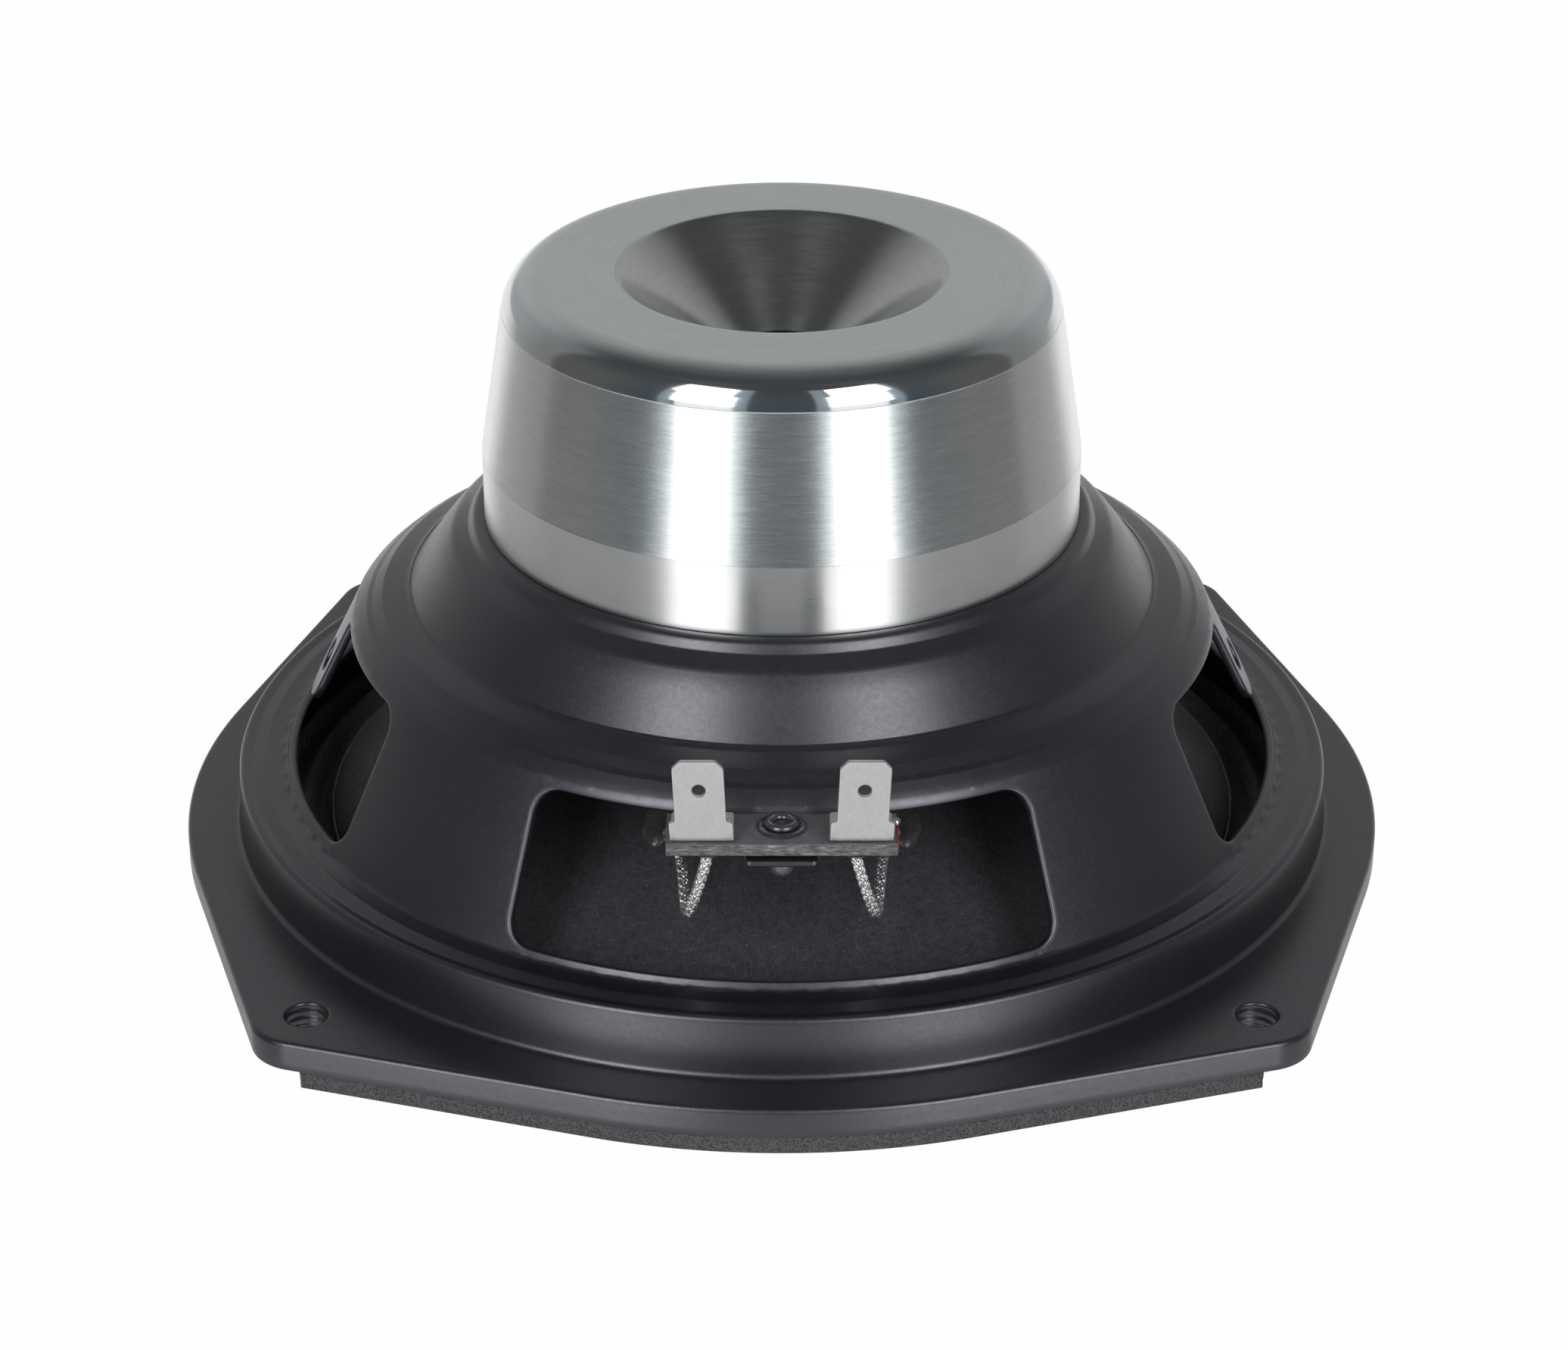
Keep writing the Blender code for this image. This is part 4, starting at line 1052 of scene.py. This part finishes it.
def build_suspension():
    wave = catmull([(57.6, cone_z(57.6) - 1.15, 0), (60.0, cone_z(60.0) - 1.15, 0), (62.0, 6.15, 0), (63.1, 4.9, 0),
                    (64.2, 4.2, 0), (65.3, 5.3, 0), (66.4, 6.5, 0), (67.5, 5.4, 0), (68.6, 4.25, 0), (69.7, 5.4, 0),
                    (70.8, 6.5, 0), (71.9, 5.4, 0), (72.9, 4.35, 0), (73.9, 4.45, 0), (75.2, 4.66, 0),
                    (76.9, 4.7, 0), (80.2, 4.7, 0)], 4)
    line = [(p.x, p.y) for p in wave]
    b = Build()
    b.lathe(line + [(r, z - 0.5) for r, z in reversed(line)], 256, True)
    obj = piece(b, "surround_cloth", CLOTH, None, "surround", 50.0)
    radial_blend(obj)

    pts = []
    n = 110
    for i in range(n + 1):
        r = lerp(22.25, 54.0, i / n)
        amp = 1.05 * smoothstep(24.0, 27.5, r) * (1.0 - smoothstep(46.5, 50.3, r))
        mid = 36.4 - 0.6 * smoothstep(24.0, 30.0, r) + 2.05 * smoothstep(43.5, 50.6, r) - 0.318 * max(0.0, r - 50.6)
        pts.append((r, mid + amp * math.cos(TAU * (r - 27.0) / 5.6)))
    s = Build()
    s.lathe(pts + [(r, z - 0.5) for r, z in reversed(pts)], 224, True)
    obj = piece(s, "spider_cloth", PHENOLIC, None, "spider", 50.0)
    radial_blend(obj)


build_suspension()


# ------------------------------------------------------------------ terminals
def rounded_box(b, lo, hi, bevel, segs=3, shape=None, mi=0, cuts=1):
    """Box with rounded edges, cut finely enough to be shaped."""
    bm = bmesh.new()
    bmesh.ops.create_cube(bm, size=1.0)
    for v in bm.verts:
        v.co = Vector([lerp(lo[k], hi[k], v.co[k] + 0.5) for k in range(3)])
    bmesh.ops.bevel(bm, geom=bm.edges[:], offset=bevel, segments=segs, affect="EDGES", profile=0.5)
    if cuts > 1:
        bmesh.ops.subdivide_edges(bm, edges=[e for e in bm.edges if e.calc_length() > 3.0 * bevel],
                                  cuts=cuts, use_grid_fill=True)
    bm.verts.index_update()
    o = b.pts([tuple(shape(v.co) if shape else v.co) for v in bm.verts])
    for f in bm.faces:
        b.face([o + v.index for v in f.verts], mi)
    bm.free()


def build_terminals():
    b = Build()

    def ragged(p):
        k = 1.0 if p.y < -66.2 else 0.35
        return (p.x + 0.05 * wobble(p, 1.1, 4.0), p.y + 0.09 * k * wobble(p, 1.6, 2.0), p.z + 0.03 * wobble(p, 0.8, 6.0))

    rounded_box(b, (-14.2, -66.45, 33.05), (14.2, -58.5, 34.70), 0.16, 2, ragged, 0, 40)
    piece(b, "terminal_board_laminate", BOARD, "frame", "terminal_board", 50.0)

    w = Build()
    w.lathe([(1.75, 34.80), (2.85, 34.78), (3.0, 34.86), (3.0, 35.04), (2.88, 35.14), (2.6, 35.16), (1.85, 35.16),
             (1.75, 35.1)], 64, True, at=(0.0, -62.2))
    piece(w, "eyelet_washer", EYELET, "frame", "rivet_washer", 45.0)
    e = Build()
    roll = [(1.55 + 0.65 * math.cos(a), 35.42 + 0.5 * math.sin(a)) for a in [math.pi * (1.0 - i / 12) for i in range(13)]]
    line = roll + [(2.18, 35.3), (2.05, 35.2), (1.45, 35.18), (1.45, 31.5), (1.6, 31.4), (1.62, 31.2), (1.6, 29.8),
                   (1.5, 29.2), (1.32, 28.75), (1.12, 28.53), (1.0, 28.5), (0.92, 28.6), (0.9, 29.0), (0.9, 35.2)]
    # below z 31.45 the eyelet takes the lighter copy of its finish, painted light on the rolled end
    e.lathe(line, 64, True, mi=[1 if z < 31.45 else 0 for _, z in line], at=(0.0, -62.2))
    piece(e, "terminal_eyelet", [EYELET, EYELET_END_LIT], "frame", "terminal_rivet", 45.0)

    for side, sign in (("left", -1.0), ("right", 1.0)):
        # one strip of brass: foot, bend, base, blade
        path = with_normals(fillet([(59.7, 34.80, 0.0), (66.4, 34.80, 0.95), (66.4, 46.06, 0.0)], 0.16, 0.8))
        ss = [q[0] for q in path]
        total = ss[-1]
        s0 = total - (46.06 - 34.76)             # height zero of the blade

        def on_strip(x, s, h):
            i = min(max(int(np.searchsorted(ss, s)) - 1, 0), len(path) - 2)
            f = (s - ss[i]) / (ss[i + 1] - ss[i])
            r, z, nr, nz = [lerp(path[i][k], path[i + 1][k], f) for k in range(1, 5)]
            up = max(0.0, z - 34.76)
            return (sign * 9.75 + x + sign * 0.045 * up, -(r + nr * h), z + nz * h)

        right = [(3.85, 0.0, 0.5), (3.92, s0 + 2.8, 0.35), (3.15, s0 + 3.05, 0.30), (3.15, s0 + 10.3, 0.5),
                 (2.15, total, 0.5)]
        loop = closed_fillet(right + [(-x, s, rr) for x, s, rr in reversed(right)], 0.12, 0.8)
        hs = s0 + 7.3
        hole = [(0.85 * math.cos(TAU * i / 28), hs + 0.85 * math.sin(TAU * i / 28)) for i in range(28)]
        fine = [(d, 0.0, q) for d, q in ((0.24, 0.0), (0.15, 0.0), (0.05, 0.04), (0.0, 0.15))]
        grid = [(x * 0.7, s) for x in range(-6, 7) for s in ss[1:-1]
                if inside(loop, x * 0.7, s) and not near(loop, x * 0.7, s, 0.6)
                and math.hypot(x * 0.7, s - hs) > 1.4]
        t = Build()
        sheet(t, loop, [hole], grid, on_strip, 0.78, lambda u, v: fine, lambda u, v: fine)
        piece(t, "terminal_blade_" + side, TIN, "frame", "terminal_tab_" + side, 40.0)

        # solder over the foot, and where the lead comes through the board
        f = Build()
        rows = []
        for i in range(12):
            q = i / 11
            row = []
            for j in range(40):
                a = TAU * j / 40
                ca, sa = math.cos(a), math.sin(a)
                k = 1.0 / max(abs(ca) ** 4 + abs(sa) ** 4, 1e-6) ** 0.25
                x, y = 3.1 * k * ca * math.sin(q * math.pi / 2), 2.2 * k * sa * math.sin(q * math.pi / 2)
                p = (sign * 9.9 + x, -62.2 + y, 0.0)
                h = 0.62 * math.cos(q * math.pi / 2) ** 0.6 * (1.0 + 0.35 * wobble(p, 0.7, 3.0 + sign))
                row.append((p[0], p[1] + 0.15 * wobble(p, 0.9, 5.0), 35.48 + h))
            rows.append(row)
        f.grid(rows[1:], wrap_cols=True)
        f.fan(rows[1], rows[0][0])
        low = [(p[0], p[1], 35.3) for p in rows[-1]]
        f.grid([rows[-1], low], wrap_cols=True)
        f.fan(low, (sign * 9.9, -62.2, 35.3))
        piece(f, "foot_solder_" + side, SOLDER, "frame", (), 60.0)

        u = Build()
        prof = [(0.02, 32.2), (0.75, 32.05), (1.0, 32.2), (1.35, 32.6), (1.9, 32.9), (2.3, 33.04), (0.02, 33.04)]
        u.lathe(prof, 40, True, at=(sign * 9.2, -64.55),
                turn=lambda p, r, a: (p[0] + 0.12 * r * wobble(p, 0.8, 7.0), p[1] + 0.12 * r * wobble(p, 0.8, 2.0), p[2]))
        piece(u, "lead_solder_" + side, SOLDER, "frame", (), 60.0)

    # bead of solder at the board's right-hand end
    d = Build()
    ball = [(max(0.02, 0.62 * math.sin(k)), 35.15 - 0.5 * math.cos(k)) for k in [math.pi * i / 10 for i in range(11)]]
    d.lathe(ball, 28, True, at=(14.05, -61.5),
            turn=lambda p, r, a: (p[0] + 0.1 * wobble(p, 1.4, 4.0), p[1] + 0.15 * wobble(p, 1.2, 8.0), p[2] + 0.1 * wobble(p, 1.3, 6.0)))
    piece(d, "end_solder", SOLDER, "frame", (), 60.0)

    # dab of red paint on the board's end, beside the right-hand blade
    r = Build()
    rounded_box(r, (14.0, -66.3, 33.35), (14.34, -62.0, 34.78), 0.12, 2,
                lambda p: (p.x + 0.04 * wobble(p, 1.3, 1.0), p.y + 0.2 * wobble(p, 1.0, 3.0), p.z + 0.08 * wobble(p, 1.2, 5.0)), 0, 8)
    piece(r, "polarity_mark", RED, "frame", (), 60.0)


build_terminals()


def build_lead(side, sign):
    route = [(9.2, -64.7, 32.75), (9.35, -64.6, 31.0), (10.6, -62.6, 25.6), (11.6, -60.4, 21.7), (12.0, -58.4, 20.6),
             (12.2, -56.0, 20.75), (12.9, -48.0, 22.1), (14.1, -42.0, 22.2), (14.7, -40.3, 21.75)]
    coarse = catmull([(sign * x, y, z) for x, y, z in route], 12)
    # even spacing along the route
    run = [0.0]
    for p, q in zip(coarse, coarse[1:]):
        run.append(run[-1] + (q - p).length)
    total = run[-1]
    count = int(total / 0.16)
    path = []
    k = 0
    for i in range(count + 1):
        s = total * i / count
        while k < len(run) - 2 and run[k + 1] < s:
            k += 1
        path.append(coarse[k].lerp(coarse[k + 1], (s - run[k]) / (run[k + 1] - run[k])))
    frames = transport(path)
    b = Build()
    # core tube, coloured near-black as painted shade showing between the strands
    tube(b, path[::3] + [path[-1]], 0.38, 8, 1)
    carriers, pitch = 6, 4.4
    for hand in (1.0, -1.0):
        for c in range(carriers):
            line = []
            for i, (p, a1, a2) in enumerate(frames):
                s = total * i / count
                ang = hand * TAU * s / pitch + TAU * c / carriers
                rad = 0.55 + hand * 0.09 * math.cos(carriers * TAU * s / pitch + math.pi * c)
                line.append(p + a1 * (rad * math.cos(ang)) + a2 * (rad * math.sin(ang)))
            tube(b, line, 0.152, 6, 0)
    obj = piece(b, "tinsel_braid_" + side, [BRAID, BRAID_CORE_GAP_SHADE], None, "tinsel_lead_" + side, 60.0, 1e-8)
    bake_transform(obj)


for lead_side, lead_sign in (("left", -1.0), ("right", 1.0)):
    build_lead(lead_side, lead_sign)


# -------------------------------------------- finishes of the carried-over nodes
for name, mat in (("clamp_ring", FIBRE), ("magnet_ring", MAGNET), ("pole_plate", PLATE), ("shorting_ring", ALU),
                  ("voice_coil_former", FILM), ("voice_coil", WIRE), ("motor_screw_1", ZINC), ("motor_screw_2", ZINC),
                  ("motor_screw_3", ZINC), ("motor_screw_4", ZINC)):
    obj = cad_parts[name]
    if obj.material_slots:
        for s in obj.material_slots:
            s.material = mat
    else:
        obj.data.materials.append(mat)


# --------------------------------------------------------- floor, light, camera
def area(name, location, target, size, power, colour=(1.0, 1.0, 1.0)):
    light = bpy.data.lights.new(name, "AREA")
    light.shape = "RECTANGLE"
    light.size, light.size_y = size
    light.energy = power
    light.color = colour
    obj = bpy.data.objects.new(name, light)
    bpy.context.scene.collection.objects.link(obj)
    obj.location = location
    obj.rotation_euler = (Vector(target) - Vector(location)).to_track_quat("-Z", "Y").to_euler()
    return obj


def build_stage():
    # white floor disc and a far white surround, both plain emitters
    mat, t, b = new_material("white_floor")
    b.inputs["Base Color"].default_value = (0.0, 0.0, 0.0, 1.0)
    b.inputs["Specular IOR Level"].default_value = 0.0
    tone = mix_rgb(t, noise_tex(t, coords(t), 2.0, 1.0), (1.0, 1.0, 1.0), (0.995, 0.995, 0.995))
    t.links.new(tone, b.inputs["Emission Color"])
    b.inputs["Emission Strength"].default_value = 1.0
    disc = [(r, -0.2) for r in (60.0, 600.0, 3000.0, 6000.0)]
    wall = [(6000.0, -0.2)] + [(6000.0 * math.cos(a), 6000.0 * math.sin(a)) for a in [math.radians(8.0 * k) for k in range(1, 12)]]
    for name, line in (("floor", disc), ("backdrop", wall)):
        f = Build()
        rows = [[polar(r, TAU * j / 96, z) for j in range(96)] for r, z in line]
        f.grid(rows, wrap_cols=True)
        f.fan(rows[0] if name == "floor" else rows[-1], (0.0, 0.0, -0.2 if name == "floor" else 6000.0))
        obj = f.object(name, [mat])
        obj.visible_glossy = False
        obj.visible_shadow = False
        obj.visible_transmission = False
        obj.visible_diffuse = False

    # soft light from all round: dim in front and above, paler behind and below
    world = bpy.data.worlds.new("studio")
    bpy.context.scene.world = world
    world.use_nodes = True
    t = world.node_tree
    way = node(t, "ShaderNodeTexCoord").outputs["Generated"]
    sep = node(t, "ShaderNodeSeparateXYZ", {0: way})
    behind = node(t, "ShaderNodeMapRange", {"Value": sep.outputs[1], "From Min": 0.16, "From Max": 0.26},
                  interpolation_type="SMOOTHSTEP").outputs[0]
    deep = node(t, "ShaderNodeMapRange", {"Value": sep.outputs[1], "From Min": 0.30, "From Max": 0.82},
                interpolation_type="SMOOTHSTEP").outputs[0]
    behind = maths(t, "ADD", maths(t, "MULTIPLY", behind, 0.42), maths(t, "MULTIPLY", deep, 0.58))
    below = node(t, "ShaderNodeMapRange", {"Value": sep.outputs[2], "From Min": -0.24, "From Max": -0.42},
                 interpolation_type="SMOOTHSTEP").outputs[0]
    above = node(t, "ShaderNodeMapRange", {"Value": sep.outputs[2], "From Min": 0.3, "From Max": 0.9},
                 interpolation_type="SMOOTHSTEP").outputs[0]
    aside = node(t, "ShaderNodeMapRange", {"Value": sep.outputs[1], "From Min": -0.62, "From Max": -0.15},
                 interpolation_type="SMOOTHSTEP").outputs[0]
    shallow = node(t, "ShaderNodeMapRange", {"Value": sep.outputs[2], "From Min": 0.80, "From Max": 0.62},
                   interpolation_type="SMOOTHSTEP").outputs[0]
    tone = mix_rgb(t, aside, (0.075, 0.092, 0.110), (0.126, 0.129, 0.126))
    tone = mix_rgb(t, above, tone, (0.070, 0.074, 0.075))
    tone = mix_rgb(t, maths(t, "MULTIPLY", behind, shallow), tone, (0.445, 0.451, 0.450))
    tone = mix_rgb(t, below, tone, (0.50, 0.50, 0.50))
    sweep = node(t, "ShaderNodeMapRange", {"Value": sep.outputs[2], "From Min": 0.06, "From Max": -0.04},
                 interpolation_type="SMOOTHSTEP").outputs[0]
    straight = node(t, "ShaderNodeMapRange", {"Value": sep.outputs[1], "From Min": 0.62, "From Max": 0.86},
                    interpolation_type="SMOOTHSTEP").outputs[0]
    tone = mix_rgb(t, maths(t, "MULTIPLY", straight, sweep), tone, (1.0, 1.0, 1.0))
    t.links.new(tone, t.nodes["Background"].inputs["Color"])
    t.nodes["Background"].inputs["Strength"].default_value = 1.0

    # a tall strip on each side of the camera, brightest in its middle, with paler flanks
    for sign, side in ((-1.0, "left"), (1.0, "right")):
        for name, turn, width, z0, z1, glow in (("low", 29.4, 0.47, -0.70, -0.18, 1.70), ("mid", 30.1, 0.405, -0.18, 0.20, 1.18),
                                                ("core", 31.0, 0.43, 0.20, 0.70, 4.7), ("high", 34.0, 0.45, 0.70, 1.32, 4.6),
                                                ("inner", 16.2, 0.10, -0.18, 1.32, 0.32), ("outer", 45.5, 0.105, -0.18, 0.70, 0.32)):
            a, z = math.radians(-90.0 + sign * turn), 0.5 * (z0 + z1)
            obj = area("strip_%s_%s" % (side, name), (math.cos(a), math.sin(a), z), (0.0, 0.0, z), (width, z1 - z0),
                       glow * math.pi * width * (z1 - z0), (0.72, 0.90, 1.0) if name in ("inner", "outer") else (1.0, 1.0, 1.0))
            obj.visible_camera = False


build_stage()

camera = bpy.data.cameras.new("camera")
camera.sensor_width = 36.0
camera.lens = 93.22
camera.shift_x = 0.00145
camera.clip_start = 0.01
cam = bpy.data.objects.new("camera", camera)
bpy.context.scene.collection.objects.link(cam)
cam.location = (0.0, -0.49776, 0.27895)
cam.rotation_euler = (Vector((0.0, 0.0, 0.0239)) - cam.location).to_track_quat("-Z", "Y").to_euler()
bpy.context.scene.camera = cam
bpy.context.scene.view_settings.view_transform = "Standard"

bpy.context.view_layer.update()
